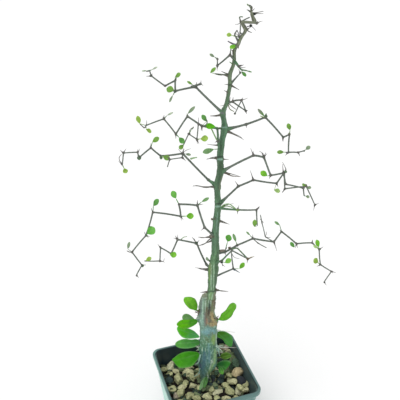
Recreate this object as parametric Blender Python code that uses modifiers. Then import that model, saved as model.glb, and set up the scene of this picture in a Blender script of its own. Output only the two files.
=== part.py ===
"""Potted zig zag plant: a spiny zigzag shrub grafted on a stout rootstock, in a square pot of gravel.

Metres, +Z up. The origin is the centre of the pot's flat underside. The pot's walls face X and Y.
"""
import math
import random

import bmesh
import bpy
from mathutils import Matrix, Vector

MM = 0.001
GAP = 0.3 * MM

# Pot: a tapered square tub with a rolled rim
POT_HEIGHT = 85 * MM
RIM_WIDTH = 90 * MM
TOP_WIDTH = 86.8 * MM
BASE_WIDTH = 68 * MM
RIM_DEPTH = 4.4 * MM
WALL = 1.2 * MM
FLOOR = 1.6 * MM
TOP_CORNER = 8 * MM
BASE_CORNER = 6 * MM
DRAIN_HOLE_RADIUS = 4 * MM
DRAIN_HOLE_PLACE = 20 * MM
EDGE = 0.8 * MM

# Filling
SOIL_TOP = 59 * MM
GRAVEL_LEVEL = 69.5 * MM
GRAVEL_BED = 6.8 * MM
STONE_SMALL = 6.5 * MM
STONE_LARGE = 10 * MM
STONE_SHAPE = (1.15, 0.92, 0.72)
STONE_REACH = 0.62

# Stems
ROOT_RADIUS = 4.2 * MM
ROOT_BOTTOM = 24 * MM
BRANCH_ROOT_RADIUS = 1.25 * MM
BRANCH_TIP_RADIUS = 0.7 * MM
TWIG_RADIUS = 0.6 * MM
BRANCH_SWAY = 5 * MM
THORN_LENGTH = 4.2 * MM
THORN_RADIUS = 0.62 * MM
THORN_POINT = 0.12 * MM
TRUNK_THORN_RADIUS = 0.9 * MM
SPINE_RADIUS = 1.3 * MM
KNOB_RADIUS = 2.6 * MM
KNOB_TIP_RADIUS = 1.1 * MM
KNOB_REACH = 9.6 * MM
LEAF_THICKNESS = 0.7 * MM
STALK_WIDTH = 0.9 * MM
LEAF_DROOP = 0.10

# The plant's skeleton is set out in a front view, 400 wide and 400 high, seen from EYE
VIEW_CENTRE = 200
VIEW_FOCAL = 600
VIEW_PITCH = math.radians(30.0)
VIEW_TURN = math.radians(18.24)
EYE = Vector((-0.1431, -0.4182, 0.540))
VIEW_RIGHT = Vector((math.cos(VIEW_TURN), -math.sin(VIEW_TURN), 0))
VIEW_BACK = Vector((math.sin(VIEW_TURN), math.cos(VIEW_TURN), 0))
VIEW_AHEAD = VIEW_BACK * math.cos(VIEW_PITCH) + Vector((0, 0, -math.sin(VIEW_PITCH)))
VIEW_UP = VIEW_BACK * math.sin(VIEW_PITCH) + Vector((0, 0, math.cos(VIEW_PITCH)))

# Rootstock: centre x, y in the view, radius in mm
STOCK = [(204.8, 378.0, 4.2), (205.3, 373.5, 6.0), (206.6, 367.5, 7.9), (207.8, 359.0, 8.6),
         (208.2, 349.0, 8.3), (208.2, 338.0, 8.0), (208.4, 328.0, 7.9), (207.8, 319.0, 7.8),
         (207.2, 310.0, 7.6), (207.8, 301.0, 7.3), (208.2, 296.8, 7.0), (208.3, 294.4, 5.0)]

STOCK_MIDDLE = 207.8

# Scion trunk: centre x, y in the view, mm toward the viewer, diameter in mm
TRUNK = [(210.4, 316.0, 6.4, 1.6), (211.0, 304.0, 3.4, 6.0), (211.6, 295.0, 0.4, 7.2), (211.7, 288.0, 0, 7.2),
         (212.4, 279.0, 0, 8.4), (212.8, 270.0, 0, 9.2), (214.2, 261.0, 0, 8.0), (215.6, 250.0, 1, 6.8),
         (214.8, 236.0, 1, 6.0), (216.4, 221.0, 0, 5.6), (218.2, 205.0, 0, 5.6), (217.4, 193.0, -1, 5.2),
         (217.2, 184.0, -1, 5.6), (221.0, 171.0, 0, 5.4), (219.9, 157.0, 1, 5.2), (221.8, 141.0, 0, 4.8),
         (225.0, 129.0, -1, 5.0), (223.6, 119.0, 0, 4.0), (222.4, 113.2, 0, 4.2), (226.6, 104.0, 0, 3.2),
         (228.5, 93.0, 1, 2.8), (230.2, 84.5, 1, 2.9), (229.2, 75.0, 0, 2.9), (234.2, 63.5, 0, 2.7),
         (234.0, 50.0, 0, 2.4), (238.0, 44.5, 0, 2.4), (240.8, 37.5, 0, 2.2), (246.2, 30.4, 0, 2.2),
         (240.4, 21.9, 6, 1.8), (256.6, 23.0, 2, 1.6), (251.2, 12.8, -4, 1.5), (250.7, 6.8, 0, 1.2)]

# Trunk thorns: root x, y, tip x, y, mm toward the viewer at the tip
TRUNK_THORNS = [
    (211.7, 292.2, 200.0, 292.4, 2), (211.7, 290.6, 228.3, 291.5, 3), (212.8, 269.6, 195.0, 267.6, 5),
    (216.4, 220.0, 228.5, 224.0, 6), (216.4, 219.4, 211.6, 219.0, 6), (219.9, 158.6, 206.8, 158.8, 3),
    (219.9, 158.6, 229.0, 159.4, 4), (217.4, 186.8, 193.0, 185.6, 6), (220.9, 171.6, 240.6, 176.8, 4),
    (225.0, 130.4, 242.9, 139.0, 5), (215.0, 237.0, 198.6, 237.0, 9), (215.0, 239.4, 198.8, 245.6, 4),
    (230.2, 85.0, 239.5, 90.1, 3), (222.6, 114.6, 210.0, 116.0, 3), (219.6, 147.0, 208.4, 144.1, -6),
    (229.4, 76.0, 214.6, 73.4, 3), (234.0, 52.0, 230.4, 49.5, 3), (238.0, 44.5, 238.6, 49.0, 3),
    (240.8, 37.5, 235.4, 33.0, -3), (246.2, 30.4, 252.4, 26.0, 2), (256.6, 23.0, 262.5, 21.0, 2),
    (251.2, 12.8, 263.0, 11.0, 2), (240.4, 21.9, 239.8, 16.5, 8), (228.5, 93.0, 224.0, 90.5, 4)]

# Trunk leaves: root x, y, middle x, y, mm toward the viewer, length and width in mm
TRUNK_LEAVES = [
    (213.6, 262.0, 206.4, 258.8, 7, 6.0, 3.4), (220.2, 149.0, 208.0, 150.8, -6, 9.0, 4.0),
    (229.0, 74.6, 213.8, 69.6, 3, 5.2, 3.6), (235.0, 48.8, 232.6, 46.4, 3, 4.6, 4.0),
    (240.8, 37.5, 229.4, 34.7, -2, 4.2, 3.6), (251.0, 8.0, 247.4, 4.8, 2, 4.0, 2.4)]

# Trunk twigs: points x, y from the trunk outwards, mm toward the viewer
TRUNK_TWIGS = [
    [(240.4, 21.9, 6), (249.8, 17.2, 1)], [(243.2, 34.2, 0), (240.0, 33.0, 3), (240.4, 25.0, 9)],
    [(238.6, 43.0, 0), (234.4, 34.2, 3), (237.2, 30.0, 1)], [(251.0, 12.8, -4), (247.6, 9.8, -2)]]

# Branches: joints x, y from the trunk outwards; lean is the depth gained for each unit of reach.
# Leaves: joint, middle x, y, length and width in mm. Thorns: joint, tip x, y. Twigs: joint, then points.
BRANCHES = {
    "branch_left_1": {
        "lean": 0.45,
        "joints": [(233.8, 59.0), (229.9, 55.1), (217.4, 65.6), (217.5, 58.9)],
        "leaves": [(3, 211.8, 55.1, 4.6, 3.0)], "thorns": [(1, 230.2, 51.0)]},
    "branch_left_2": {
        "lean": -0.35,
        "joints": [(222.4, 112.8), (195.5, 86.8), (175.3, 91.0), (175.2, 80.6), (165.0, 86.0),
                   (151.2, 75.8), (149.7, 70.5)],
        "leaves": [(1, 189.9, 82.9, 5.5, 2.4), (2, 170.2, 89.3, 6.4, 5.8), (2, 170.8, 98.9, 7.0, 3.0),
                   (3, 177.2, 75.3, 5.4, 4.2), (6, 153.4, 67.6, 5.2, 2.2), (6, 144.6, 70.8, 5.0, 2.0)],
        "thorns": [(1, 200.7, 82.0), (5, 146.0, 76.2)]},
    "branch_left_3": {
        "lean": 0.30,
        "joints": [(219.9, 157.0), (218.0, 141.0), (217.4, 128.4), (202.0, 126.0), (187.4, 116.3),
                   (175.9, 134.0), (163.8, 118.8), (146.0, 125.5)],
        "leaves": [(2, 210.4, 126.3, 8.0, 5.0), (3, 204.3, 117.7, 6.2, 4.4), (4, 191.2, 109.7, 7.4, 3.6),
                   (5, 181.6, 140.3, 6.4, 5.0), (6, 170.2, 112.9, 6.4, 1.8), (7, 138.3, 119.9, 5.6, 4.6),
                   (7, 149.1, 130.4, 5.2, 4.2)],
        "thorns": [(3, 202.2, 131.4), (6, 164.0, 115.0)]},
    "branch_left_4": {
        "lean": -0.30,
        "joints": [(217.2, 186.0), (208.4, 180.0), (182.6, 153.5), (160.7, 156.0), (150.8, 147.8),
                   (138.5, 158.2), (137.7, 152.2), (123.4, 153.0), (122.3, 164.6)],
        "leaves": [(3, 165.7, 158.6, 6.0, 4.4), (4, 155.5, 139.7, 6.8, 5.2), (8, 125.3, 170.9, 5.4, 4.6),
                   (2, 188.6, 156.4, 6.4, 2.8)],
        "thorns": [(2, 184.0, 148.0), (7, 126.1, 148.6), (8, 118.4, 161.0)]},
    "branch_left_5": {
        "lean": 0.30,
        "joints": [(214.8, 237.0), (204.6, 227.5), (197.4, 205.3), (178.9, 204.2), (180.8, 216.3),
                   (152.8, 212.2), (146.0, 235.4), (132.0, 252.0), (142.0, 265.2), (136.4, 275.2)],
        "leaves": [(2, 205.7, 199.9, 6.8, 3.4), (3, 174.1, 194.8, 7.2, 5.0), (4, 189.9, 216.0, 6.4, 5.4),
                   (5, 155.7, 202.2, 7.6, 5.4), (6, 150.9, 230.8, 7.0, 6.4), (7, 128.4, 245.1, 6.6, 3.6)],
        "thorns": [(2, 197.6, 200.0), (4, 181.5, 220.6), (6, 148.6, 237.8), (9, 138.9, 278.0)]},
    "branch_left_6": {
        "lean": -0.30,
        "joints": [(213.0, 269.0), (208.4, 262.5), (196.7, 243.3), (177.6, 239.5), (171.2, 253.8),
                   (160.6, 247.6), (159.9, 261.0), (144.4, 261.0)],
        "leaves": [(4, 173.8, 254.8, 6.0, 5.2), (7, 147.4, 257.6, 5.8, 3.8)],
        "thorns": [(2, 192.0, 237.0), (3, 177.7, 234.6), (3, 173.4, 238.0), (6, 164.9, 262.4)]},
    "branch_right_1": {
        "lean": 0.5,
        "joints": [(234.2, 61.0), (238.7, 66.5), (241.5, 70.0)],
        "leaves": [(2, 251.1, 71.4, 5.2, 2.0)], "thorns": [(1, 243.5, 64.6)]},
    "branch_right_2": {
        "lean": -0.5,
        "joints": [(230.2, 84.5), (240.4, 73.0)],
        "leaves": [(1, 244.8, 75.2, 5.0, 3.4)], "thorns": [(1, 238.6, 69.4)]},
    "branch_right_3": {
        "lean": 0.4,
        "joints": [(227.0, 103.5), (232.6, 101.8), (245.7, 110.8), (241.6, 100.3), (235.0, 113.8)],
        "leaves": [], "thorns": [(3, 243.0, 97.4), (3, 238.0, 100.0), (2, 246.6, 114.0)]},
    "branch_right_4": {
        "lean": -0.30,
        "joints": [(225.0, 129.5), (246.0, 124.4), (265.3, 117.2), (283.2, 137.2), (289.4, 134.4),
                   (288.4, 152.3), (298.2, 152.3), (304.2, 150.8)],
        "leaves": [(2, 260.0, 112.4, 6.8, 3.0), (4, 289.2, 126.5, 6.6, 4.6), (5, 280.4, 152.0, 6.0, 3.6),
                   (7, 308.8, 147.6, 4.8, 3.4)],
        "thorns": [(2, 266.4, 113.4), (3, 283.2, 141.6), (6, 300.0, 156.4)]},
    "branch_right_5": {
        "lean": 0.32,
        "joints": [(221.0, 172.0), (253.5, 155.3), (263.9, 157.2), (270.6, 175.4), (283.4, 173.0),
                   (285.6, 184.2), (303.4, 188.2), (304.1, 195.7)],
        "leaves": [(3, 263.8, 174.0, 6.6, 5.0), (7, 307.9, 197.0, 4.0, 3.0)],
        "thorns": [(1, 250.6, 148.0), (2, 261.4, 152.2), (2, 266.0, 152.2), (4, 282.4, 164.0), (3, 269.1, 179.0)]},
    "branch_right_6": {
        "lean": -0.32,
        "joints": [(218.2, 205.0), (238.4, 186.2), (253.3, 180.0), (276.6, 183.4), (284.4, 172.4),
                   (284.8, 188.8), (306.2, 186.3), (314.8, 204.8)],
        "leaves": [(3, 277.0, 191.2, 5.6, 4.6), (6, 302.4, 181.6, 4.6, 3.2), (6, 312.2, 191.0, 4.4, 3.2)],
        "thorns": [(1, 234.8, 181.0), (2, 250.0, 170.2), (5, 282.0, 192.4), (7, 318.8, 203.0), (7, 313.5, 210.5)]},
    "branch_right_7": {
        "lean": 0.30,
        "joints": [(218.2, 208.0), (237.7, 209.9), (256.5, 209.9), (257.4, 225.7)],
        "leaves": [(3, 253.4, 221.6, 5.6, 4.8)],
        "thorns": [(0, 233.6, 203.6), (1, 239.0, 205.4), (1, 237.6, 214.2), (2, 258.8, 206.6)]},
    "branch_right_8": {
        "lean": -0.22,
        "joints": [(215.4, 253.0), (224.8, 252.2), (237.2, 245.2), (252.9, 238.5), (273.9, 241.8),
                   (281.5, 231.5), (296.5, 243.7), (312.2, 242.8), (319.2, 249.4), (320.4, 264.6),
                   (331.4, 271.4), (324.2, 281.8)],
        "leaves": [(1, 228.4, 238.4, 7.0, 6.2), (2, 234.6, 236.8, 8.4, 3.6), (3, 247.8, 231.4, 6.2, 2.4),
                   (5, 276.8, 223.0, 7.4, 3.6), (6, 292.0, 245.8, 5.6, 5.0), (8, 317.6, 241.4, 6.8, 4.2),
                   (9, 315.8, 260.6, 5.6, 4.6)],
        "thorns": [(3, 252.6, 234.6), (4, 276.9, 251.0), (6, 297.6, 248.0), (8, 323.4, 246.6), (10, 336.0, 272.6),
                   (11, 326.4, 285.4)],
        "twigs": [(4, (265.3, 236.9), (261.9, 222.7), (260.4, 214.9)), (3, (258.0, 243.2), (266.6, 247.8))]},
    "branch_right_9": {
        "lean": 0.55,
        "joints": [(214.2, 262.0), (221.3, 261.2), (232.0, 250.4), (247.8, 258.8)],
        "leaves": [(1, 227.6, 262.0, 6.0, 5.2)],
        "thorns": [(1, 222.8, 266.4), (3, 254.4, 256.2), (3, 247.0, 263.4)]},
    "branch_right_10": {
        "lean": -0.8,
        "joints": [(212.6, 278.0), (233.3, 268.7), (231.3, 250.8)],
        "leaves": [(1, 242.0, 265.4, 6.6, 5.0)], "thorns": [(1, 239.8, 272.8)]},
}

# Side twig with leaves of its own, carried by a branch: parent, joint, points, leaves, thorns
SIDE_TWIGS = {
    "branch_left_3": (3, [(198.3, 124.0), (196.9, 139.3), (188.6, 133.9), (182.6, 147.0)],
                      [(1, 204.2, 138.4, 6.2, 5.2), (2, 192.0, 128.4, 6.0, 2.4)], [(1, 197.4, 144.0)]),
    "branch_left_4": (2, [(182.3, 157.6), (169.7, 159.4), (167.4, 167.2)], [], [(1, 166.4, 156.2)]),
}

# Rootstock leaves: height in the view where the stalk leaves the stem's middle, then x, y of the blade's
# start and of its tip, mm toward the viewer at start and tip, width in mm
STOCK_LEAVES = [
    (308.6, 195.6, 310.0, 184.2, 297.8, 3, 5, 9.6), (319.0, 194.0, 318.6, 181.8, 314.4, -4, -7, 6.2),
    (322.4, 197.4, 321.6, 176.2, 324.6, 4, 10, 8.8), (336.4, 199.2, 336.0, 177.0, 328.6, 3, 2, 9.4),
    (342.4, 198.6, 341.8, 175.2, 343.6, -2, -8, 9.4), (354.6, 198.6, 353.8, 172.4, 361.0, 4, 12, 14.0),
    (321.6, 219.0, 319.8, 236.4, 304.8, 2, 0, 8.6), (332.6, 217.6, 332.6, 232.2, 347.0, -3, -8, 10.4),
    (358.6, 219.0, 358.0, 230.0, 355.4, -3, -6, 5.4), (365.2, 216.6, 365.0, 226.8, 371.8, 0, 2, 9.2),
    (374.6, 205.4, 377.2, 199.4, 390.4, 6, 17, 3.8), (312.0, 210.0, 309.6, 212.4, 304.6, -10, -27, 8.6),
    (330.0, 207.0, 325.4, 205.0, 317.6, -10, -27, 9.4), (347.0, 209.6, 343.6, 212.6, 337.6, -10, -28, 9.4)]

# Rootstock spines: root x, y, tip x, y, mm toward the viewer at the tip
STOCK_SPINES = [
    (208.0, 346.8, 236.4, 347.6, 3), (208.2, 329.6, 235.0, 332.4, 2), (208.2, 346.8, 195.4, 346.0, 7),
    (207.8, 357.0, 194.6, 364.6, 6), (207.6, 319.6, 217.0, 316.6, 10), (207.0, 310.0, 194.0, 313.0, 6),
    (208.2, 338.0, 209.0, 334.0, 16), (207.6, 360.0, 213.0, 362.0, 15), (208.0, 350.0, 222.6, 352.6, 8),
    (207.8, 319.0, 196.0, 318.0, 5), (208.2, 340.0, 206.0, 332.0, -18), (208.0, 356.0, 214.0, 350.0, -18),
    (207.8, 316.0, 202.0, 308.0, -16), (207.0, 368.0, 197.6, 375.0, 6)]

# Stones that show: x, y in the view, size across in mm
STONES = [
    (170.4, 364.4, 11.0), (162.6, 368.6, 6.5), (169.5, 372.2, 6.0), (168.4, 379.4, 8.0), (178.6, 377.6, 11.0),
    (188.8, 371.6, 10.5), (191.6, 376.4, 8.0), (173.0, 386.4, 9.5), (182.2, 385.4, 7.5), (192.6, 383.8, 8.5),
    (181.0, 391.4, 9.0), (175.8, 395.2, 6.5), (190.6, 393.2, 9.0), (197.6, 392.6, 7.0), (206.2, 394.4, 11.0),
    (208.4, 386.2, 7.0), (239.2, 371.8, 10.5), (240.4, 380.0, 10.5), (235.4, 363.2, 10.0), (229.9, 378.8, 8.5),
    (220.0, 378.6, 9.0), (218.4, 389.0, 9.5), (226.0, 383.0, 6.5), (229.4, 389.4, 9.5), (238.4, 389.0, 9.5),
    (246.6, 385.6, 8.0), (226.4, 397.0, 9.0), (216.6, 396.6, 8.0), (221.8, 347.0, 7.0), (229.2, 351.4, 6.5),
    (234.2, 354.6, 7.5), (228.0, 360.0, 8.0), (227.8, 369.6, 8.0), (180.4, 366.8, 8.0)]
FILL_STONES = 40


def sight_line(x, y):
    """Direction from the eye through a point of the view."""
    across = VIEW_RIGHT * (x - VIEW_CENTRE) / VIEW_FOCAL
    return across + VIEW_UP * (VIEW_CENTRE - y) / VIEW_FOCAL + VIEW_AHEAD


def seen_at(x, y, toward=0.0):
    """Place on the sight line, in the upright plane that stands toward metres before the pot's axis."""
    line = sight_line(x, y)
    return EYE + line * ((-toward - EYE.dot(VIEW_BACK)) / line.dot(VIEW_BACK))


def on_level(x, y, level):
    """Place on the sight line at a given height."""
    line = sight_line(x, y)
    return EYE + line * ((level - EYE.z) / line.z)


def clear_scene():
    for obj in list(bpy.data.objects):
        bpy.data.objects.remove(obj, do_unlink=True)
    for name in ("potted_zigzag_plant", "cutters"):
        bpy.context.scene.collection.children.link(bpy.data.collections.new(name))


def material(name, colour, roughness):
    made = bpy.data.materials.get(name)
    if made is None:
        made = bpy.data.materials.new(name)
        made.use_nodes = True
        made.diffuse_color = (*colour, 1)
        shader = made.node_tree.nodes["Principled BSDF"]
        shader.inputs["Base Color"].default_value = (*colour, 1)
        shader.inputs["Roughness"].default_value = roughness
        shader.inputs["Metallic"].default_value = 0
    return made


def put(name, mesh):
    obj = bpy.data.objects.new(name, mesh)
    bpy.data.collections["potted_zigzag_plant"].objects.link(obj)
    return obj


def from_bmesh(name, bm):
    bmesh.ops.recalc_face_normals(bm, faces=bm.faces)
    mesh = bpy.data.meshes.new(name)
    bm.to_mesh(mesh)
    bm.free()
    return put(name, mesh)


def settled(obj):
    """The same object with its modifiers applied, or its curve made a closed mesh."""
    bpy.context.view_layer.update()
    graph = bpy.context.evaluated_depsgraph_get()
    mesh = bpy.data.meshes.new_from_object(obj.evaluated_get(graph))
    bm = bmesh.new()
    bm.from_mesh(mesh)
    bmesh.ops.remove_doubles(bm, verts=bm.verts, dist=0.00001)
    bm.to_mesh(mesh)
    bm.free()
    name = obj.name
    made = put("settled", mesh)
    made.matrix_world = obj.matrix_world
    bpy.data.objects.remove(obj, do_unlink=True)
    made.name = name
    mesh.name = name
    return made


def boolean(obj, operation, other=None, collection=None):
    step = obj.modifiers.new(operation.lower(), 'BOOLEAN')
    step.operation = operation
    step.solver = 'EXACT'
    if other:
        step.object = other
    else:
        step.operand_type = 'COLLECTION'
        step.collection = collection
    return settled(obj)


def fused(name, pieces):
    """All pieces joined in one closed body."""
    body = pieces[0]
    body.name = name
    if len(pieces) > 1:
        group = bpy.data.collections.new("repeats")
        for piece in pieces[1:]:
            group.objects.link(piece)
        body = boolean(body, 'UNION', collection=group)
        for piece in pieces[1:]:
            bpy.data.objects.remove(piece, do_unlink=True)
        bpy.data.collections.remove(group)
    return body


def cut_by(obj, cutter):
    """obj less the cutter, which stays among the cutters."""
    return boolean(obj, 'DIFFERENCE', other=cutter)


def as_cutter(obj):
    bpy.data.collections["potted_zigzag_plant"].objects.unlink(obj)
    bpy.data.collections["cutters"].objects.link(obj)
    obj.hide_render = True
    obj.display_type = 'WIRE'
    return obj


def stem(name, points, radii, resolution=1):
    """Round stem through the points, of the given radius at each."""
    curve = bpy.data.curves.new(name, 'CURVE')
    curve.dimensions = '3D'
    curve.bevel_depth = 1.0
    curve.bevel_resolution = resolution
    curve.use_fill_caps = True
    spline = curve.splines.new('POLY')
    spline.points.add(len(points) - 1)
    for point, place, radius in zip(spline.points, points, radii):
        point.co = (*place, 1)
        point.radius = radius
    return settled(put(name, curve))


def cone(name, root, tip, root_radius, tip_radius, sides):
    """Straight cone, cut off at its tip radius, from root to tip."""
    bm = bmesh.new()
    length = (tip - root).length
    bmesh.ops.create_cone(bm, cap_ends=True, segments=sides, radius1=root_radius, radius2=tip_radius, depth=length)
    turn = (tip - root).to_track_quat('Z', 'Y').to_matrix().to_4x4()
    bmesh.ops.transform(bm, verts=bm.verts, matrix=Matrix.Translation((root + tip) / 2) @ turn)
    return from_bmesh(name, bm)


def thorn(root, tip, radius=THORN_RADIUS):
    """Three-sided spike."""
    return cone("thorn", root, tip, radius, THORN_POINT, 3)


def blade(root, start, tip, width, facing, cup=0.12, outline=(0.66, 1.0, 0.98, 0.74)):
    """Leaf on a thin stalk from root to start, then an oval blade to the tip, cupped along its rib."""
    along = (tip - start).normalized()
    side = along.cross(facing).normalized()
    face = side.cross(along).normalized()
    length = (tip - start).length
    rows = [(root, STALK_WIDTH * 0.5, 0), (start, STALK_WIDTH * 0.6, 0)]
    for step, share in enumerate(outline):
        reach = (step + 1) / (len(outline) + 1)
        droop = face * (-LEAF_DROOP * length * reach * reach)
        rows.append((start + along * length * reach + droop, width / 2 * share, cup * width * share))
    bm = bmesh.new()
    rings = []
    for place, half, lift in rows:
        rings.append([bm.verts.new(place + side * half * k + face * lift * abs(k)) for k in (-1, 0, 1)])
    for near, far in zip(rings, rings[1:]):
        for k in (0, 1):
            bm.faces.new((near[k], near[k + 1], far[k + 1], far[k]))
    end = bm.verts.new(tip - face * LEAF_DROOP * length)
    last = rings[-1]
    bm.faces.new((last[0], last[1], end))
    bm.faces.new((last[1], last[2], end))
    leaf = from_bmesh("leaf", bm)
    shell = leaf.modifiers.new("thickness", 'SOLIDIFY')
    shell.thickness = LEAF_THICKNESS
    shell.offset = 0
    return settled(leaf)


def square_ring(half, corner, steps=3):
    """Points round a square with rounded corners."""
    ring = []
    for quarter in range(4):
        start = quarter * math.pi / 2
        middle = Vector((math.cos(start + math.pi / 4), math.sin(start + math.pi / 4))) * math.sqrt(2)
        for step in range(steps + 1):
            angle = start + step / steps * math.pi / 2
            around = Vector((math.cos(angle), math.sin(angle)))
            ring.append(middle * (half - corner) + around * corner)
    return ring


def square_loft(name, rows):
    """Closed body through square rings, each given as height, half width and corner radius."""
    bm = bmesh.new()
    rings = []
    for height, half, corner in rows:
        rings.append([bm.verts.new((p.x, p.y, height)) for p in square_ring(half, corner)])
    count = len(rings[0])
    for low, high in zip(rings, rings[1:]):
        for k in range(count):
            bm.faces.new((low[k], low[(k + 1) % count], high[(k + 1) % count], high[k]))
    bm.faces.new(list(reversed(rings[0])))
    bm.faces.new(rings[-1])
    return from_bmesh(name, bm)


def wall_half(height):
    """Half the pot's outer width below its rim, at a height."""
    return (BASE_WIDTH + (TOP_WIDTH - BASE_WIDTH) * height / POT_HEIGHT) / 2


def wall_corner(height):
    return BASE_CORNER + (TOP_CORNER - BASE_CORNER) * height / POT_HEIGHT


def inner_row(height, clearance=0.0):
    return height, wall_half(height) - WALL - clearance, wall_corner(height) - WALL


def make_pot():
    under_rim = POT_HEIGHT - RIM_DEPTH
    rim = RIM_WIDTH / 2
    rows = [(0, wall_half(0) - EDGE, BASE_CORNER - EDGE), (EDGE, wall_half(EDGE), BASE_CORNER),
            (under_rim - EDGE / 2, wall_half(under_rim), TOP_CORNER), (under_rim + EDGE / 2, rim, TOP_CORNER),
            (POT_HEIGHT - EDGE, rim, TOP_CORNER), (POT_HEIGHT, rim - EDGE, TOP_CORNER - EDGE),
            (POT_HEIGHT, rim - 2.5 * EDGE, TOP_CORNER - 2 * EDGE), inner_row(POT_HEIGHT - 1.5 * EDGE),
            inner_row(FLOOR)]
    pot = square_loft("pot", rows)
    for x in (-DRAIN_HOLE_PLACE, DRAIN_HOLE_PLACE):
        for y in (-DRAIN_HOLE_PLACE, DRAIN_HOLE_PLACE):
            low, high = Vector((x, y, -FLOOR)), Vector((x, y, 2 * FLOOR))
            hole = cone("drain_hole", low, high, DRAIN_HOLE_RADIUS, DRAIN_HOLE_RADIUS, 8)
            pot = cut_by(pot, as_cutter(hole))
    pot.data.materials.append(material("pot_plastic", (0.05, 0.11, 0.11), 0.45))
    return pot


def make_soil(root_hole):
    bottom = FLOOR + GAP
    soil = square_loft("soil", [inner_row(bottom, GAP), inner_row(SOIL_TOP, GAP)])
    soil = cut_by(soil, root_hole)
    soil.data.materials.append(material("soil", (0.05, 0.035, 0.025), 0.95))
    return soil


def stone(place, size, rng):
    """Rough stone of few faces, longer than high, turned at random."""
    bm = bmesh.new()
    bmesh.ops.create_icosphere(bm, subdivisions=1, radius=size / 2)
    for vert in bm.verts:
        vert.co *= 1 + 0.16 * (rng.random() - 0.5)
    bmesh.ops.scale(bm, verts=bm.verts, vec=STONE_SHAPE)
    turn = Matrix.Rotation(rng.uniform(0, math.tau), 4, 'Z') @ Matrix.Rotation(rng.uniform(-0.3, 0.3), 4, 'X')
    bmesh.ops.transform(bm, verts=bm.verts, matrix=Matrix.Translation(place) @ turn)
    return from_bmesh("stone", bm)


def stone_places(rng):
    """Places and sizes of the stones: those that show in the view, then others where there is room."""
    placed = []
    room = wall_half(GRAVEL_LEVEL) - WALL - GAP
    for x, y, across in STONES:
        size = across * MM
        place = on_level(x, y, GRAVEL_LEVEL)
        limit = room - size * STONE_REACH
        place.x = max(-limit, min(limit, place.x))
        place.y = max(-limit, min(limit, place.y))
        placed.append((place, size))
    tries = 0
    while len(placed) < len(STONES) + FILL_STONES and tries < 4000:
        tries += 1
        size = rng.uniform(STONE_SMALL, STONE_LARGE)
        limit = room - size * STONE_REACH
        place = Vector((rng.uniform(-limit, limit), rng.uniform(-limit, limit), GRAVEL_LEVEL))
        far_from_stem = place.xy.length > ROOT_RADIUS + size * STONE_REACH
        if far_from_stem and all((place - other).length > (size + width) * 0.42 for other, width in placed):
            placed.append((place, size))
    return placed


def make_gravel(root_hole):
    rng = random.Random(41)
    low = SOIL_TOP + GAP
    bed = square_loft("gravel", [inner_row(low, GAP), inner_row(low + GRAVEL_BED, GAP)])
    stones = []
    for place, size in stone_places(rng):
        lowered = place - Vector((0, 0, size * 0.30 + rng.uniform(0, 1.5 * MM)))
        stones.append(stone(lowered, size, rng))
    gravel = cut_by(fused("gravel", [bed] + stones), root_hole)
    gravel.data.materials.append(material("pumice", (0.42, 0.36, 0.25), 0.9))
    return gravel


def trunk_line():
    """Points and radii of the scion's trunk."""
    points = [seen_at(x, y, toward * MM) for x, y, toward, _ in TRUNK]
    return points, [across / 2 * MM for _, _, _, across in TRUNK]


def stock_line():
    """Points and radii of the rootstock, from its buried root to the graft."""
    points = [seen_at(x, y) for x, y, _ in STOCK]
    radii = [radius * MM for _, _, radius in STOCK]
    foot = points[0]
    root = [Vector((foot.x, foot.y, ROOT_BOTTOM)), Vector((foot.x, foot.y, foot.z - 6 * MM))]
    return root + points, [1.6 * MM, ROOT_RADIUS] + radii


def knob(root, tip):
    """Short cushion of the rootstock round the foot of a spine."""
    reach = (tip - root).normalized()
    return cone("knob", root, root + reach * KNOB_REACH, KNOB_RADIUS, KNOB_TIP_RADIUS, 6)


def make_rootstock(trunk_socket):
    points, radii = stock_line()
    pieces = [stem("rootstock_stem", points, radii, 4)]
    for x0, y0, x1, y1, toward in STOCK_SPINES:
        root = seen_at(x0, y0)
        tip = seen_at(x1, y1, toward * MM)
        pieces.append(knob(root, tip))
        pieces.append(thorn(root, tip, SPINE_RADIUS))
    stock = cut_by(fused("rootstock_stem", pieces), trunk_socket)
    stock.data.materials.append(material("rootstock_bark", (0.22, 0.33, 0.34), 0.7))
    return stock


def make_rootstock_leaves():
    points, radii = stock_line()
    cutter = as_cutter(stem("rootstock_clearance", points, [r + 1.2 * GAP for r in radii], 4))
    for number, (height, x0, y0, x1, y1, near, far, width) in enumerate(STOCK_LEAVES, 1):
        root = seen_at(STOCK_MIDDLE, height)
        start = seen_at(x0, y0, near * MM)
        tip = seen_at(x1, y1, far * MM)
        facing = Vector((0, 0, 1)) - VIEW_BACK * 0.9
        name = "rootstock_leaf_%02d" % number
        leaf = cut_by(fused(name, [blade(root, start, tip, width * MM, facing)]), cutter)
        leaf.data.materials.append(material("rootstock_leaf", (0.08, 0.28, 0.04), 0.4))


def point_on(line, x, y):
    """The place on a line of points that is seen nearest to x, y."""
    ray = sight_line(x, y).normalized()
    steps = [a.lerp(b, k / 16) for a, b in zip(line, line[1:]) for k in range(17)]
    return min(steps, key=lambda place: (place - EYE).cross(ray).length)


def leaf_on(root, x, y, toward, length, width, rng):
    """Small leaf whose middle is seen at x, y, on a stalk from its joint."""
    middle = seen_at(x, y, toward)
    along = (middle - root).normalized()
    start = middle - along * length / 2
    if (middle - root).length < length / 2 + 1 * MM:
        start = root + along * 1 * MM
    tip = start + along * length
    facing = -VIEW_AHEAD + VIEW_RIGHT * rng.uniform(-0.4, 0.4) + Vector((0, 0, rng.uniform(-0.1, 0.5)))
    return blade(root, start, tip, width, facing, 0.06, (0.72, 1.0, 0.74))


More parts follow.
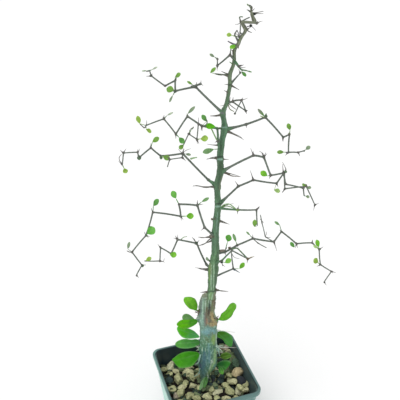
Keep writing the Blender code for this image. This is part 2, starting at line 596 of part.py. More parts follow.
def make_trunk(stems_rng):
    points, radii = trunk_line()
    pieces = [stem("scion_trunk", points, radii, 2)]
    for x0, y0, x1, y1, toward in TRUNK_THORNS:
        pieces.append(thorn(point_on(points, x0, y0), seen_at(x1, y1, toward * MM), TRUNK_THORN_RADIUS))
    for x0, y0, x1, y1, toward, length, width in TRUNK_LEAVES:
        root = point_on(points, x0, y0)
        pieces.append(leaf_on(root, x1, y1, toward * MM, length * MM, width * MM, stems_rng))
    for (x0, y0, _), *others in TRUNK_TWIGS:
        line = [point_on(points, x0, y0)] + [seen_at(x, y, toward * MM) for x, y, toward in others]
        pieces.append(stem("twig", line, [TWIG_RADIUS] * len(line), 0))
    trunk = fused("scion_trunk", pieces)
    trunk.data.materials.append(material("scion_bark", (0.13, 0.2, 0.11), 0.6))
    return trunk


def zigzag(joints, lean, start):
    """Joints in space: each steps back or forth from a line that leans with its reach from the trunk."""
    origin = seen_at(*joints[0], start)
    places = [origin]
    side = math.copysign(1, lean)
    for number, (x, y) in enumerate(joints[1:], 1):
        reach = (seen_at(x, y, start) - origin).length
        sway = side * BRANCH_SWAY * (1 if number % 2 else -1)
        places.append(seen_at(x, y, start + lean * reach + sway))
    return places


def depth_of(place):
    return -place.dot(VIEW_BACK)


def joint_radii(places, first, last):
    """Radius at each joint: it thins outwards and swells where the stem turns sharply."""
    radii = []
    for number, place in enumerate(places):
        radius = first + (last - first) * number / (len(places) - 1)
        if 0 < number < len(places) - 1:
            turn = (place - places[number - 1]).angle(places[number + 1] - place)
            radius /= max(0.62, math.cos(turn / 2))
        radii.append(radius)
    return radii


def joint_thorns(places):
    """A short thorn on the outer side of each turn of a branch, on either hand by turns."""
    pieces = []
    side = 1
    for before, place, after in zip(places, places[1:], places[2:]):
        outward = (place - before).normalized() - (after - place).normalized()
        across = (place - before).cross(after - place)
        if outward.length < 0.3 or across.length < 1e-9:
            continue
        outward.normalize()
        across.normalize()
        pieces.append(thorn(place, place + (outward * 0.8 + across * 0.6 * side) * THORN_LENGTH))
        side = -side
    return pieces


def spray(places, leaves, thorns, first, last, rng):
    """Stem with its thorns and leaves."""
    pieces = [stem("spray", places, joint_radii(places, first, last), 1)]
    pieces += joint_thorns(places)
    for joint, x, y in thorns:
        pieces.append(thorn(places[joint], seen_at(x, y, depth_of(places[joint]) + rng.uniform(-1, 3) * MM)))
    for joint, x, y, length, width in leaves:
        toward = depth_of(places[joint]) + rng.uniform(-1.5, 2.5) * MM
        pieces.append(leaf_on(places[joint], x, y, toward, length * MM, width * MM, rng))
    return pieces


def make_branches(clearance, stems_rng):
    for name, branch in BRANCHES.items():
        places = zigzag(branch["joints"], branch["lean"], 0)
        pieces = spray(places, branch["leaves"], branch["thorns"], BRANCH_ROOT_RADIUS, BRANCH_TIP_RADIUS, stems_rng)
        for joint, *points in branch.get("twigs", []):
            root = places[joint]
            line = [root] + [seen_at(x, y, depth_of(root) + 1 * MM * k) for k, (x, y) in enumerate(points, 1)]
            pieces.append(stem("twig", line, [TWIG_RADIUS] * len(line), 0))
        if name in SIDE_TWIGS:
            joint, points, leaves, thorns = SIDE_TWIGS[name]
            root = places[joint]
            line = [root] + [seen_at(x, y, depth_of(root) + 3 * MM * (k % 2)) for k, (x, y) in enumerate(points, 1)]
            pieces += spray(line, [(j + 1, *rest) for j, *rest in leaves],
                            [(j + 1, *rest) for j, *rest in thorns], BRANCH_TIP_RADIUS, TWIG_RADIUS, stems_rng)
        body = cut_by(fused(name, pieces), clearance)
        body.data.materials.append(material("branch_bark", (0.1, 0.13, 0.1), 0.65))


def main():
    clear_scene()
    points, radii = trunk_line()
    socket = as_cutter(stem("trunk_socket", points[:5], [r + GAP for r in radii[:5]], 2))
    clearance = as_cutter(stem("trunk_clearance", points, [r + 1.15 * GAP for r in radii], 2))
    root_points, root_radii = stock_line()
    root_hole = as_cutter(stem("root_hole", root_points[:8], [r + 1.5 * GAP for r in root_radii[:8]], 4))
    make_pot()
    make_soil(root_hole)
    make_gravel(root_hole)
    make_rootstock(socket)
    make_rootstock_leaves()
    stems_rng = random.Random(7)
    make_trunk(stems_rng)
    make_branches(clearance, stems_rng)


main()
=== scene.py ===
import math
import random

import bmesh
import bpy
from mathutils import Matrix, Vector, noise


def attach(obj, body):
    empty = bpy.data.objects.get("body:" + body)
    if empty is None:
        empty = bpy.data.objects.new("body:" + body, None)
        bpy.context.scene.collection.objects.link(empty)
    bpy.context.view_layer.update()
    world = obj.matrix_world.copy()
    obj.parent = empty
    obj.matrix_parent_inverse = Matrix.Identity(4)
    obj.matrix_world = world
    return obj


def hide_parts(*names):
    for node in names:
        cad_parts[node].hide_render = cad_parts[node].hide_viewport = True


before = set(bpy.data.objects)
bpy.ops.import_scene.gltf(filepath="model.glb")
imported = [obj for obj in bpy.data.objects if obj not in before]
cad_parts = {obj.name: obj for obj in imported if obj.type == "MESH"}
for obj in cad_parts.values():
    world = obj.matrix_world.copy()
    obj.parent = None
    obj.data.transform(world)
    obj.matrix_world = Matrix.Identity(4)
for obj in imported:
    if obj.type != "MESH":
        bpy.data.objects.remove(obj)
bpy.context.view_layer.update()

# Potted zig zag plant: the looks of the pot, its gravel, the spiny rootstock and the zigzag scion on it.
# Metres, +Z up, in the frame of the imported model. Colours are written as 0 to 255 and made linear.

MM = 0.001

# Pot
POT_HEIGHT = 85 * MM
RIM_WIDTH = 90 * MM
TOP_WIDTH = 86.8 * MM
BASE_WIDTH = 68 * MM
RIM_DEPTH = 4.4 * MM
WALL = 1.2 * MM
FLOOR = 1.6 * MM
TOP_CORNER = 8 * MM
BASE_CORNER = 6 * MM
EDGE = 0.8 * MM
DRAIN_HOLE_RADIUS = 4 * MM
DRAIN_HOLE_PLACE = 20 * MM
# Rounding of the rim's lower edge, the small step under it, the least radius of a corner, and how far under
# the rim's lower and upper edge its greyer band begins and is full
LIP = 0.5 * MM
RIM_STEP = 0.35 * MM
RIM_STEP_DEPTH = 0.1 * MM
SMALLEST_CORNER = 0.4 * MM
RIM_BAND_EDGE = 0.5 * MM
WALL_PARTS = 12
# Parts of a ring round the pot's wall or the bed, in each corner and along each side
POT_RING = (12, 14)
BED_RING = (10, 30)

# Filling
GAP = 0.3 * MM
SOIL_TOP = 59 * MM
GRAVEL_LEVEL = 69.5 * MM
GRAVEL_BED = 6.8 * MM
STONE_SMALL = 6.5 * MM
STONE_LARGE = 10 * MM
STONE_SHAPE = (1.15, 0.92, 0.72)
STONE_REACH = 0.62
STONE_FULLNESS = 1.26
# Flats knapped on a stone: how far out, as shares of half its size, and how light. Then how sharp the edges
# between them are, how sharp its corners, and the span of shares within which these are drawn in or out
FLAT_HEIGHTS = (0.62, 0.98)
FLAT_SHADES = (0.78, 1.2)
EDGE_SHARPNESS = 300
CORNER_SHARPNESS = 9
CORNER_SHARE = 0.16
# Lumps and pits: size of the noise on a ball of radius 1, and how far it shifts the surface, as a share of
# the stone's size
LUMP_SIZE = 0.5
LUMP_RISE = 0.05
PIT_SIZE = 0.17
PIT_RISE = 0.022
STONE_CLOSENESS = 0.42
STONE_TILT = 0.3
FILL_STONES = 40
FILL_TRIES = 4000
FILL_TONES = ("tan", "tan", "sand", "pale", "brown", "green", "tan")
GRIT_COUNT = 300
GRIT_SIZES = (2.0, 4.8)
GRIT_TONES = ("brown", "tan", "green", "dark", "brown")
# The bed of fines: rings of its top, how much thinner than GRAVEL_BED it is, its roughness, and the height
# and reach of the mound round the stem's foot
BED_RINGS = 40
BED_SUNK = 0.8 * MM
BED_ROUGH = 0.9 * MM
FOOT_MOUND = 3.8 * MM
FOOT_REACH = 9 * MM
FOOT_RISE = 1.4 * MM
# Shares of a stone's size by which it is sunk: those of the bed, those round the foot, those that lie higher
STONE_SUNK = 0.3
FOOT_SUNK = 0.25
HIGH_SUNK = 0.2
STONE_DROP = 1.5 * MM

# Stems
ROOT_RADIUS = 4.2 * MM
ROOT_BOTTOM = 24 * MM
ROOT_TIP_RADIUS = 1.6 * MM
ROOT_NECK = 6 * MM
ROOT_STEP = 4 * MM
BRANCH_ROOT_RADIUS = 1.25 * MM
BRANCH_TIP_RADIUS = 0.7 * MM
TWIG_RADIUS = 0.6 * MM
BRANCH_SWAY = 5 * MM
# What a branch has of its plain radius between joints, what a joint adds to that, and the share of it that is
# left at the end; reach of the swelling at a joint and of the flare at the root; the most that a run bows, as
# a share of its length
STEM_WIDTH = 0.74
JOINT_SWELL = 0.34
STEM_END = 0.6
JOINT_REACH = 1.2 * MM
FLARE_REACH = 7 * MM
STEM_BOW = 0.01
THORN_LENGTH = 4.2 * MM
# Shares of a joint thorn's length by which it points outward, and across to either hand
THORN_OUTWARD = 0.8
THORN_ACROSS = 0.6
THORN_RADIUS = 0.62 * MM
THORN_POINT = 0.11 * MM
TRUNK_THORN_RADIUS = 0.82 * MM
# Corners of stems, how far they are rounded, and the sides of their skins
TRUNK_CORNER = 7 * MM
BRANCH_CORNER = 1.3 * MM
SHOOT_CORNER = 5 * MM
TRUNK_SIDES = 40
BRANCH_SIDES = 12
SHOOT_SIDES = 8
SPINE_RADIUS = 0.48 * MM
KNOB_REACH = 9.6 * MM
STOCK_SIDES = 144
STOCK_STEP = 0.45 * MM
LEAF_DROOP = 0.10
CURVE_STEPS = 6
THORN_FOOT_LENGTH = 0.8 * MM
SPIKE_STEPS = 11
# Blades of the rootstock's leaves, of its small second ones and of the small leaves: rows and columns of
# the skin, radius of the stalk, thickness
STOCK_BLADE = (34, 16, 1.3 * MM, 0.9 * MM)
SECOND_BLADE = (24, 10, 0.9 * MM, 0.7 * MM)
SMALL_BLADE = (14, 8, 0.75 * MM, 0.6 * MM)
# Lead and tail of a blade's form, as formed_rows takes them, and the share of its width that it is cupped
STOCK_FORM = (0.95, 0.5)
SMALL_FORM = (1.25, 0.62)
STOCK_CUP = 0.09
SMALL_CUP = 0.06

# Random draws
STEM_SEED = 7
PLACE_SEED = 41
LOOK_SEED = 5
AREOLE_SEED = 19
MORE_LEAVES_SEED = 3

# Light
SURROUND_LIGHT = 0.78
SUN_LIGHT = 1.15
SUN_SPREAD = math.radians(38)
SUN_FROM = (-0.42, -0.34, 1)
FLOOR_REACH = 14

# The plant's skeleton is set out in a front view, 400 wide and 400 high, seen from EYE
VIEW_CENTRE = 200
VIEW_FOCAL = 600
VIEW_PITCH = math.radians(30.0)
VIEW_TURN = math.radians(18.24)
SENSOR_WIDTH = 36
EYE = Vector((-0.1431, -0.4182, 0.540))
VIEW_RIGHT = Vector((math.cos(VIEW_TURN), -math.sin(VIEW_TURN), 0))
VIEW_BACK = Vector((math.sin(VIEW_TURN), math.cos(VIEW_TURN), 0))
VIEW_AHEAD = VIEW_BACK * math.cos(VIEW_PITCH) + Vector((0, 0, -math.sin(VIEW_PITCH)))
VIEW_UP = VIEW_BACK * math.sin(VIEW_PITCH) + Vector((0, 0, math.cos(VIEW_PITCH)))

# Rootstock: y in the view, its left and right edges there
STOCK_EDGES = [
    (378.0, 200.8, 208.8), (374.8, 199.8, 209.6), (371.5, 199.0, 210.6), (367.3, 198.3, 213.8),
    (362.4, 198.5, 216.6), (356.9, 198.8, 216.9), (350.0, 199.5, 216.4), (343.0, 199.9, 216.2),
    (336.2, 200.1, 216.6), (329.4, 200.1, 216.4), (323.0, 199.8, 216.2), (317.0, 199.2, 215.2),
    (311.0, 198.8, 214.2), (305.0, 199.4, 215.2), (300.4, 200.2, 216.0), (297.0, 201.6, 215.6),
    (295.2, 203.2, 215.0)]
STOCK_MIDDLE = 207.8

# Scion trunk: centre x, y in the view, mm toward the viewer, diameter in mm
TRUNK = [(210.4, 316.0, 6.4, 1.6), (211.0, 304.0, 3.4, 6.0), (211.6, 295.0, 0.4, 7.2), (211.7, 288.0, 0, 7.2),
         (212.4, 279.0, 0, 8.4), (212.8, 270.0, 0, 9.2), (214.2, 261.0, 0, 8.0), (215.6, 250.0, 1, 6.8),
         (214.8, 236.0, 1, 6.0), (216.4, 221.0, 0, 5.6), (218.2, 205.0, 0, 5.6), (217.4, 193.0, -1, 5.2),
         (217.2, 184.0, -1, 5.6), (221.0, 171.0, 0, 5.4), (219.9, 157.0, 1, 5.2), (221.8, 141.0, 0, 4.8),
         (225.0, 129.0, -1, 5.0), (223.6, 119.0, 0, 4.0), (222.4, 113.2, 0, 4.2), (226.6, 104.0, 0, 3.2),
         (228.5, 93.0, 1, 2.8), (230.2, 84.5, 1, 2.9), (229.2, 75.0, 0, 2.9), (234.2, 63.5, 0, 2.7),
         (234.0, 50.0, 0, 2.4), (238.0, 44.5, 0, 2.4), (240.8, 37.5, 0, 2.2), (246.2, 30.4, 0, 2.2),
         (240.4, 21.9, 6, 1.8), (256.6, 23.0, 2, 1.6), (251.2, 12.8, -4, 1.15), (250.7, 6.8, 0, 0.9)]

# Trunk thorns: root x, y, tip x, y, mm toward the viewer at the tip
TRUNK_THORNS = [
    (211.7, 292.2, 200.0, 292.4, 2), (211.7, 290.6, 228.3, 291.5, 3), (212.8, 269.6, 195.0, 267.6, 5),
    (216.4, 220.0, 228.5, 224.0, 6), (216.4, 219.4, 211.6, 219.0, 6), (219.9, 158.6, 206.8, 158.8, 3),
    (219.9, 158.6, 229.0, 159.4, 4), (217.4, 186.8, 193.0, 185.6, 6), (220.9, 171.6, 240.6, 176.8, 4),
    (225.0, 130.4, 242.9, 139.0, 5), (215.0, 237.0, 198.6, 237.0, 9), (215.0, 239.4, 198.8, 245.6, 4),
    (230.2, 85.0, 239.5, 90.1, 3), (222.6, 114.6, 210.0, 116.0, 3), (219.6, 145.2, 207.0, 144.1, -6),
    (229.4, 76.0, 214.6, 73.4, 3), (234.0, 52.0, 230.4, 49.5, 3), (238.0, 44.5, 238.6, 49.0, 3),
    (240.8, 37.5, 235.4, 33.0, -3), (246.2, 30.4, 252.4, 26.0, 2), (256.6, 23.0, 262.5, 21.0, 2),
    (251.2, 12.8, 263.0, 11.0, 2), (240.4, 21.9, 239.8, 16.5, 8), (228.5, 93.0, 224.0, 90.5, 4)]

# Trunk leaves: root x, y, middle x, y, mm toward the viewer, length and width in mm, tone, degrees that the
# blade turns from its stalk, mm that it comes nearer
TRUNK_LEAVES = [
    (213.6, 262.0, 207.6, 259.6, 6, 6.6, 2.55, "grey", -26),
    (220.2, 149.0, 207.8, 151.0, -6, 12.6, 4.6, "sage", 8),
    (229.0, 74.6, 212.9, 70.2, 3, 5.72, 2.7, "olive", -125),
    (235.0, 48.8, 232.8, 46.4, 3, 5.29, 3.8, "bright", 40, 2),
    (240.8, 37.5, 229.2, 34.8, -2, 3.99, 3.24, "yellow"), (251.0, 8.0, 248.0, 5.0, 2, 2.8, 1.2, "grey")]

# Trunk twigs: points x, y from the trunk outwards, mm toward the viewer
TRUNK_TWIGS = [
    [(240.4, 21.9, 6), (249.8, 17.2, 1)], [(243.2, 34.2, 0), (240.0, 33.0, 3), (240.4, 25.0, 9)],
    [(238.6, 43.0, 0), (234.4, 34.2, 3), (237.2, 30.0, 1)], [(251.0, 12.8, -4), (247.6, 9.8, -2)]]

# Fine growth on the trunk: tone, thick and thin radius in mm, then points x, y from its root on
TRUNK_SHOOTS = [
    ("umber", 1.25, 0.12, (213.6, 289.6), (217.4, 290.0), (221.0, 290.9), (228.4, 291.6)),
    ("umber", 1.0, 0.12, (210.6, 291.6), (206.4, 291.6), (200.0, 292.5)),
    ("thorn", 0.8, 0.14, (214.0, 186.2), (205.7, 187.7), (196.6, 185.4), (192.7, 186.3)),
    ("brown", 1.1, 0.12, (222.0, 171.8), (228.0, 174.0), (231.4, 176.0), (241.0, 176.8)),
    ("thorn", 0.7, 0.14, (226.6, 129.6), (229.8, 131.6), (235.0, 134.4), (240.0, 136.4), (243.6, 140.0)),
    ("thorn", 0.7, 0.12, (219.2, 156.8), (212.0, 157.4), (206.5, 159.6)),
    ("umber", 0.6, 0.16, (211.6, 236.4), (208.0, 236.7), (202.7, 238.0), (198.0, 237.0)),
    ("thorn", 0.65, 0.2, (211.0, 238.4), (208.6, 240.0), (205.0, 243.8), (199.6, 245.8), (194.4, 244.2)),
    ("umber", 0.8, 0.3, (221.6, 115.2), (217.0, 116.0), (210.4, 115.9)),
    ("thorn", 0.85, 0.14, (229.2, 74.2), (226.4, 73.6), (221.2, 71.2)),
    ("moss", 0.55, 0.35, (228.6, 75.6), (225.6, 74.4), (220.4, 75.2), (214.8, 73.8)),
    ("thorn", 0.7, 0.12, (231.0, 86.0), (234.0, 87.2), (239.4, 90.0)),
    ("thorn", 0.45, 0.12, (229.6, 84.5), (227.0, 84.5), (224.4, 84.4)),
    ("thorn", 0.45, 0.12, (227.6, 105.0), (224.6, 105.2), (220.2, 106.0)),
    ("fern", 0.7, 0.25, (234.6, 64.8), (232.0, 63.6), (229.4, 61.8)),
    ("violet", 0.85, 0.4, (236.0, 45.0), (232.2, 43.6), (227.8, 41.1)),
    ("violet", 0.5, 0.3, (238.8, 40.4), (235.9, 37.3), (234.2, 33.9), (237.1, 29.9)),
    ("violet", 0.4, 0.3, (238.8, 38.0), (238.8, 34.4), (237.0, 30.0)),
    ("thorn", 0.5, 0.3, (240.0, 38.0), (239.9, 33.9), (240.5, 24.1)),
    ("thorn", 0.55, 0.16, (237.4, 45.0), (238.3, 45.4), (238.8, 47.8)),
    ("moss", 0.5, 0.3, (234.6, 58.0), (230.4, 55.1), (230.8, 47.6)),
    ("thorn", 0.55, 0.4, (251.2, 12.0), (252.2, 7.4), (250.8, 5.6), (247.7, 4.9)),
    ("crown", 0.75, 1.7, (251.2, 10.6), (252.3, 16.0), (254.6, 21.6)),
    ("crown", 0.95, 0.9, (241.0, 21.8), (248.0, 22.0), (256.0, 22.8)),
    ("moss", 0.9, 0.85, (223.4, 128.4), (220.6, 128.2), (217.2, 128.5)),
    ("thorn", 0.6, 0.14, (251.2, 12.0), (249.4, 10.6), (246.5, 9.7)),
    ("thorn", 0.5, 0.14, (252.4, 15.0), (254.6, 13.8), (257.0, 12.6), (263.6, 11.3)),
    ("thorn", 0.45, 0.14, (251.4, 11.8), (253.2, 10.0), (254.7, 8.4)),
    ("thorn", 0.45, 0.14, (252.4, 15.0), (256.0, 13.6), (263.4, 13.6)),
    ("moss", 0.55, 0.35, (240.6, 21.4), (239.3, 17.2), (240.8, 16.6), (243.0, 17.0)),
    ("thorn", 0.35, 0.12, (240.6, 22.4), (238.4, 24.2), (235.0, 24.4)),
    ("thorn", 0.5, 0.2, (246.0, 29.6), (249.4, 31.8), (252.0, 32.7)),
    ("crown", 1.5, 1.2, (246.4, 30.2), (244.0, 26.0), (241.2, 22.4)),
    ("violet", 0.4, 0.12, (247.0, 26.6), (251.0, 25.8), (253.7, 28.1), (255.7, 30.6)),
    ("thorn", 0.8, 0.14, (216.6, 219.2), (221.0, 220.6), (229.4, 224.4)),
    ("moss", 0.9, 0.6, (213.4, 263.0), (210.2, 261.8), (206.6, 257.4)),
    ("thorn", 0.85, 0.12, (211.0, 270.8), (206.8, 270.4), (201.0, 269.2), (197.3, 268.0))]

# Swollen joints of the trunk: tone, x, y, radius in mm
TRUNK_KNOTS = [
    ("umber", 216.2, 289.8, 1.3), ("seam", 254.6, 14.0, 0.9), ("seam", 250.8, 25.6, 1.0),
    ("thorn", 256.8, 23.0, 1.2), ("bark", 211.8, 219.2, 1.0)]

# Branches. lean: the depth gained for each unit of reach. root: how much the branch swells where it leaves
# the trunk, and mm to where its green bark has darkened. girth: its radius as a share of the usual one.
# joints: x, y from the trunk outwards. leaves: joint, middle x, y, length and width in mm, tone, degrees that
# the blade turns from its stalk, mm that it comes nearer. thorns: joint, tip x, y. twigs: joint, points.
# side_twig: joint, points, and leaves and thorns of its own. more_leaves: x, y of root and middle, length,
# width, tone. shoots: tone, thick and thin radius in mm, points. knots: tone, x, y, radius in mm.
BRANCHES = {
    "branch_left_1": dict(
        lean=0.45, root=(0.1, 3), girth=0.85,
        joints=[(233.8, 59.0), (229.9, 55.1), (217.4, 65.6), (217.5, 58.9)],
        leaves=[(3, 212.2, 55.5, 4.6, 2.1, "grey")], thorns=[(1, 230.2, 51.0)],
        knots=[("thorn", 217.5, 59.0, 0.9), ("thorn", 217.4, 65.4, 1.1)]),
    "branch_left_2": dict(
        lean=-0.35, root=(0.3, 4),
        joints=[(222.4, 112.8), (195.5, 86.8), (175.3, 91.0), (175.2, 80.6), (165.0, 86.0), (151.2, 75.8),
                (149.7, 70.5)],
        leaves=[(1, 189.9, 82.9, 5.225, 2.16, "olive"), (2, 170.2, 89.3, 6.4, 5.8, "olive"),
                (2, 170.8, 98.9, 7.0, 2.04, "grey"), (3, 177.6, 75.2, 6.21, 3.99, "olive", -36),
                (6, 154.6, 68.2, 5.2, 1.65, "pale", 6), (6, 144.2, 70.8, 4.75, 1.4, "pale")],
        thorns=[(1, 200.7, 82.0), (5, 146.0, 76.2)],
        shoots=[("wood", 0.9, 0.8, (191.0, 86.8), (196.0, 85.4), (201.6, 83.8)),
                ("thorn", 0.5, 0.12, (195.4, 86.8), (201.0, 84.0), (201.0, 80.2)),
                ("thorn", 0.4, 0.12, (195.4, 86.8), (201.2, 84.0), (203.2, 85.6)),
                ("thorn", 0.4, 0.15, (149.8, 70.6), (146.8, 72.0), (145.6, 70.6), (143.4, 71.2))],
        knots=[("shade", 175.0, 91.2, 1.3)]),
    "branch_left_3": dict(
        lean=0.30, root=(0.2, 44),
        joints=[(219.9, 157.0), (218.0, 141.0), (217.4, 128.4), (202.0, 126.0), (187.4, 116.3),
                (175.9, 134.0), (163.8, 118.8), (146.0, 125.5)],
        leaves=[(2, 210.4, 126.1, 8.0, 4.9, "vivid", 0, 9), (3, 204.4, 118.1, 6.2, 3.96, "deep", 56),
                (4, 191.2, 110.1, 8.14, 2.592, "grey", -12), (5, 181.6, 140.3, 5.76, 4.4, "deep"),
                (6, 169.8, 113.9, 6.4, 1.71, "pale", -10), (7, 138.5, 119.9, 6.16, 3.772, "yellow", -40),
                (7, 149.1, 130.6, 5.72, 3.57, "yellow", 40)],
        thorns=[(3, 202.2, 131.4), (6, 164.0, 115.0)],
        side_twig=(3, [(198.3, 124.0), (196.9, 139.3), (188.6, 133.9), (182.6, 147.0)],
                   [(1, 204.2, 138.4, 6.2, 5.2, "yellow"), (2, 192.4, 128.4, 3.6, 1.08, "dusk")],
                   [(1, 197.4, 144.0)]),
        more_leaves=[(183.4, 143.4, 181.2, 146.9, 4.6, 3.8, "olive")],
        shoots=[("thorn", 0.4, 0.25, (190.0, 134.6), (189.6, 130.4), (191.2, 128.4), (193.8, 127.8)),
                ("fern", 0.6, 0.55, (217.6, 141.2), (214.6, 135.6), (211.6, 129.0)),
                ("thorn", 0.5, 0.4, (146.0, 125.5), (144.6, 128.4), (140.0, 124.0)),
                ("thorn", 0.4, 0.12, (146.0, 125.5), (146.8, 123.0), (146.6, 120.4)),
                ("violet", 0.45, 0.15, (202.0, 126.0), (198.6, 124.0), (198.4, 117.6)),
                ("moss", 0.4, 0.4, (203.0, 126.2), (206.9, 124.4), (207.2, 120.8), (205.6, 118.8))],
        knots=[("thorn", 164.2, 118.6, 0.9)]),
    "branch_left_4": dict(
        lean=-0.30, root=(1.1, 14),
        joints=[(217.2, 186.0), (208.4, 180.0), (182.6, 153.5), (160.7, 156.0), (150.8, 147.8),
                (138.5, 158.2), (137.7, 152.2), (123.4, 153.0), (122.3, 164.6)],
        leaves=[(3, 166.3, 157.6, 6.6, 4.62, "olive", 0, 7), (4, 155.5, 139.8, 7.48, 4.42, "olive", -24),
                (8, 125.3, 170.9, 5.4, 4.6, "yellow"), (2, 188.2, 154.4, 4.992, 2.24, "grey", 0, 1)],
        thorns=[(2, 184.0, 148.0), (7, 126.1, 148.6), (8, 118.4, 161.0)],
        side_twig=(2, [(182.3, 157.6), (169.7, 159.4), (167.4, 167.2)], [], [(1, 166.4, 156.2)]),
        shoots=[("thorn", 0.4, 0.12, (182.6, 153.5), (180.4, 151.6), (178.0, 149.0)),
                ("thorn", 0.4, 0.12, (182.6, 153.5), (185.6, 150.4), (190.8, 148.6)),
                ("fern", 0.9, 0.4, (190.6, 158.8), (193.4, 158.0), (197.0, 157.4)),
                ("thorn", 0.35, 0.25, (122.6, 164.0), (119.4, 160.8), (119.0, 157.2), (121.4, 154.4)),
                ("thorn", 0.4, 0.12, (138.0, 155.0), (137.0, 152.0), (138.2, 148.8))],
        knots=[("moss", 139.2, 157.8, 1.9), ("moss", 161.0, 157.6, 1.4)]),
    "branch_left_5": dict(
        lean=0.30, root=(0.5, 4),
        joints=[(214.8, 237.0), (204.6, 227.5), (197.4, 205.3), (178.9, 204.2), (180.8, 216.3),
                (152.8, 212.2), (146.0, 235.4), (132.0, 252.0), (142.0, 265.2), (136.4, 275.2)],
        leaves=[(2, 205.3, 199.9, 7.14, 2.89, "sage", -6), (3, 174.1, 194.8, 7.2, 5.0, "emerald"),
                (4, 189.9, 216.0, 6.4, 5.4, "bright"), (5, 155.7, 202.6, 7.6, 4.59, "deep", -18),
                (6, 150.9, 230.8, 8.05, 7.68, "emerald", 0, 4), (7, 128.5, 245.5, 6.6, 2.7, "grey", -40)],
        thorns=[(2, 197.6, 200.0), (4, 181.5, 220.6), (6, 148.6, 237.8), (9, 138.9, 278.0)],
        shoots=[("thorn", 0.45, 0.12, (197.4, 205.3), (200.0, 204.6), (203.2, 204.2)),
                ("thorn", 0.45, 0.12, (152.8, 212.2), (151.6, 210.0), (151.2, 207.8)),
                ("violet", 0.4, 0.2, (146.0, 235.4), (145.0, 234.0), (144.6, 232.0)),
                ("thorn", 0.6, 0.3, (132.0, 252.0), (129.6, 252.2), (126.8, 250.8))],
        knots=[("stub", 211.0, 236.4, 1.7), ("moss", 142.4, 265.8, 1.3)]),
    "branch_left_6": dict(
        lean=-0.30, root=(0.5, 6),
        joints=[(213.0, 270.4), (206.4, 264.6), (196.7, 243.3), (177.6, 239.5), (171.2, 253.8),
                (160.6, 247.6), (159.9, 261.0), (144.4, 261.0)],
        leaves=[(4, 173.2, 254.6, 6.3, 5.72, "bright", 0, 4), (7, 148.6, 259.0, 5.8, 3.99, "yellow", 0, 3)],
        thorns=[(2, 192.0, 237.0), (3, 177.7, 234.6), (3, 173.4, 238.0), (6, 164.9, 262.4)],
        shoots=[("thorn", 0.4, 0.14, (177.6, 239.5), (176.0, 238.2), (175.6, 236.0)),
                ("fern", 0.45, 0.25, (180.4, 240.0), (183.4, 237.2), (187.0, 236.4)),
                ("thorn", 0.45, 0.2, (196.0, 243.0), (194.6, 239.4), (192.0, 237.4)),
                ("thorn", 0.4, 0.15, (159.9, 261.0), (163.6, 261.6), (164.4, 258.4))],
        knots=[("shade", 196.4, 242.6, 1.2)]),
    "branch_right_1": dict(
        lean=0.5, root=(0.3, 30),
        joints=[(234.2, 61.0), (238.7, 66.5), (241.5, 70.0)],
        leaves=[(2, 249.4, 71.4, 4.68, 1.2, "deep")], thorns=[(1, 243.5, 64.6)],
        shoots=[("thorn", 0.5, 0.12, (237.0, 65.4), (240.0, 65.2), (243.4, 65.4)),
                ("thorn", 0.4, 0.12, (239.0, 67.6), (242.0, 67.8), (246.0, 67.0)),
                ("moss", 0.8, 0.3, (241.5, 70.0), (245.0, 70.2), (250.4, 71.8))]),
    "branch_right_2": dict(
        lean=-0.5, root=(0.2, 3), girth=0.85,
        joints=[(230.2, 84.5), (240.4, 73.0)],
        leaves=[(1, 243.9, 73.8, 5.6, 2.72, "deep", -34)], thorns=[(1, 238.6, 69.4)]),
    "branch_right_3": dict(
        lean=0.4, root=(0.1, 5), girth=0.72,
        joints=[(227.0, 103.5), (232.6, 101.8), (245.7, 110.8), (241.6, 100.3), (235.0, 113.8)],
        leaves=[], thorns=[(3, 243.0, 97.4), (3, 238.0, 100.0), (2, 246.6, 114.0)],
        shoots=[("wood", 0.7, 0.65, (229.4, 102.4), (235.0, 100.4), (241.6, 99.9)),
                ("olive", 0.45, 0.3, (228.0, 104.0), (229.6, 109.4), (234.2, 111.6)),
                ("thorn", 0.4, 0.25, (228.6, 103.4), (232.0, 106.6), (236.0, 109.4)),
                ("thorn", 0.4, 0.12, (242.0, 100.0), (244.6, 99.4), (247.6, 98.0)),
                ("thorn", 0.4, 0.15, (229.6, 103.0), (229.6, 100.6), (230.4, 97.2))],
        knots=[("thorn", 234.9, 113.6, 0.9)]),
    "branch_right_4": dict(
        lean=-0.30, root=(0.9, 8),
        joints=[(225.0, 129.5), (246.0, 124.4), (265.3, 117.2), (283.2, 137.2), (289.4, 134.4),
                (288.4, 152.3), (298.2, 152.3), (304.2, 150.8)],
        leaves=[(2, 261.8, 113.4, 8.16, 2.55, "dusk"), (4, 289.0, 126.8, 5.808, 3.772, "olive", 16),
                (5, 280.4, 152.0, 6.0, 3.6, "olive"), (7, 308.0, 147.8, 4.8, 3.57, "grey")],
        thorns=[(2, 266.4, 113.4), (3, 283.2, 141.6), (6, 300.0, 156.4)],
        shoots=[("spring", 0.5, 0.3, (265.3, 117.2), (262.6, 116.8), (260.2, 116.0)),
                ("moss", 0.9, 0.5, (265.6, 117.0), (266.2, 115.6), (266.0, 113.8))],
        knots=[("moss", 265.8, 116.4, 1.4), ("olive", 289.4, 134.0, 1.1), ("violet", 286.8, 152.7, 0.8),
               ("wood", 304.0, 150.9, 0.9)]),
    "branch_right_5": dict(
        lean=0.32, root=(1.0, 9),
        joints=[(221.0, 172.0), (253.5, 155.3), (263.9, 157.2), (270.6, 175.4), (283.4, 173.0),
                (285.6, 184.2), (303.4, 188.2), (304.1, 195.7)],
        leaves=[(3, 264.0, 173.8, 6.27, 4.75, "bright", -20), (7, 307.7, 196.6, 3.6, 2.55, "grey")],
        thorns=[(1, 250.6, 148.0), (2, 261.4, 152.2), (2, 266.0, 152.2), (4, 282.4, 164.0),
                (3, 269.1, 179.0)],
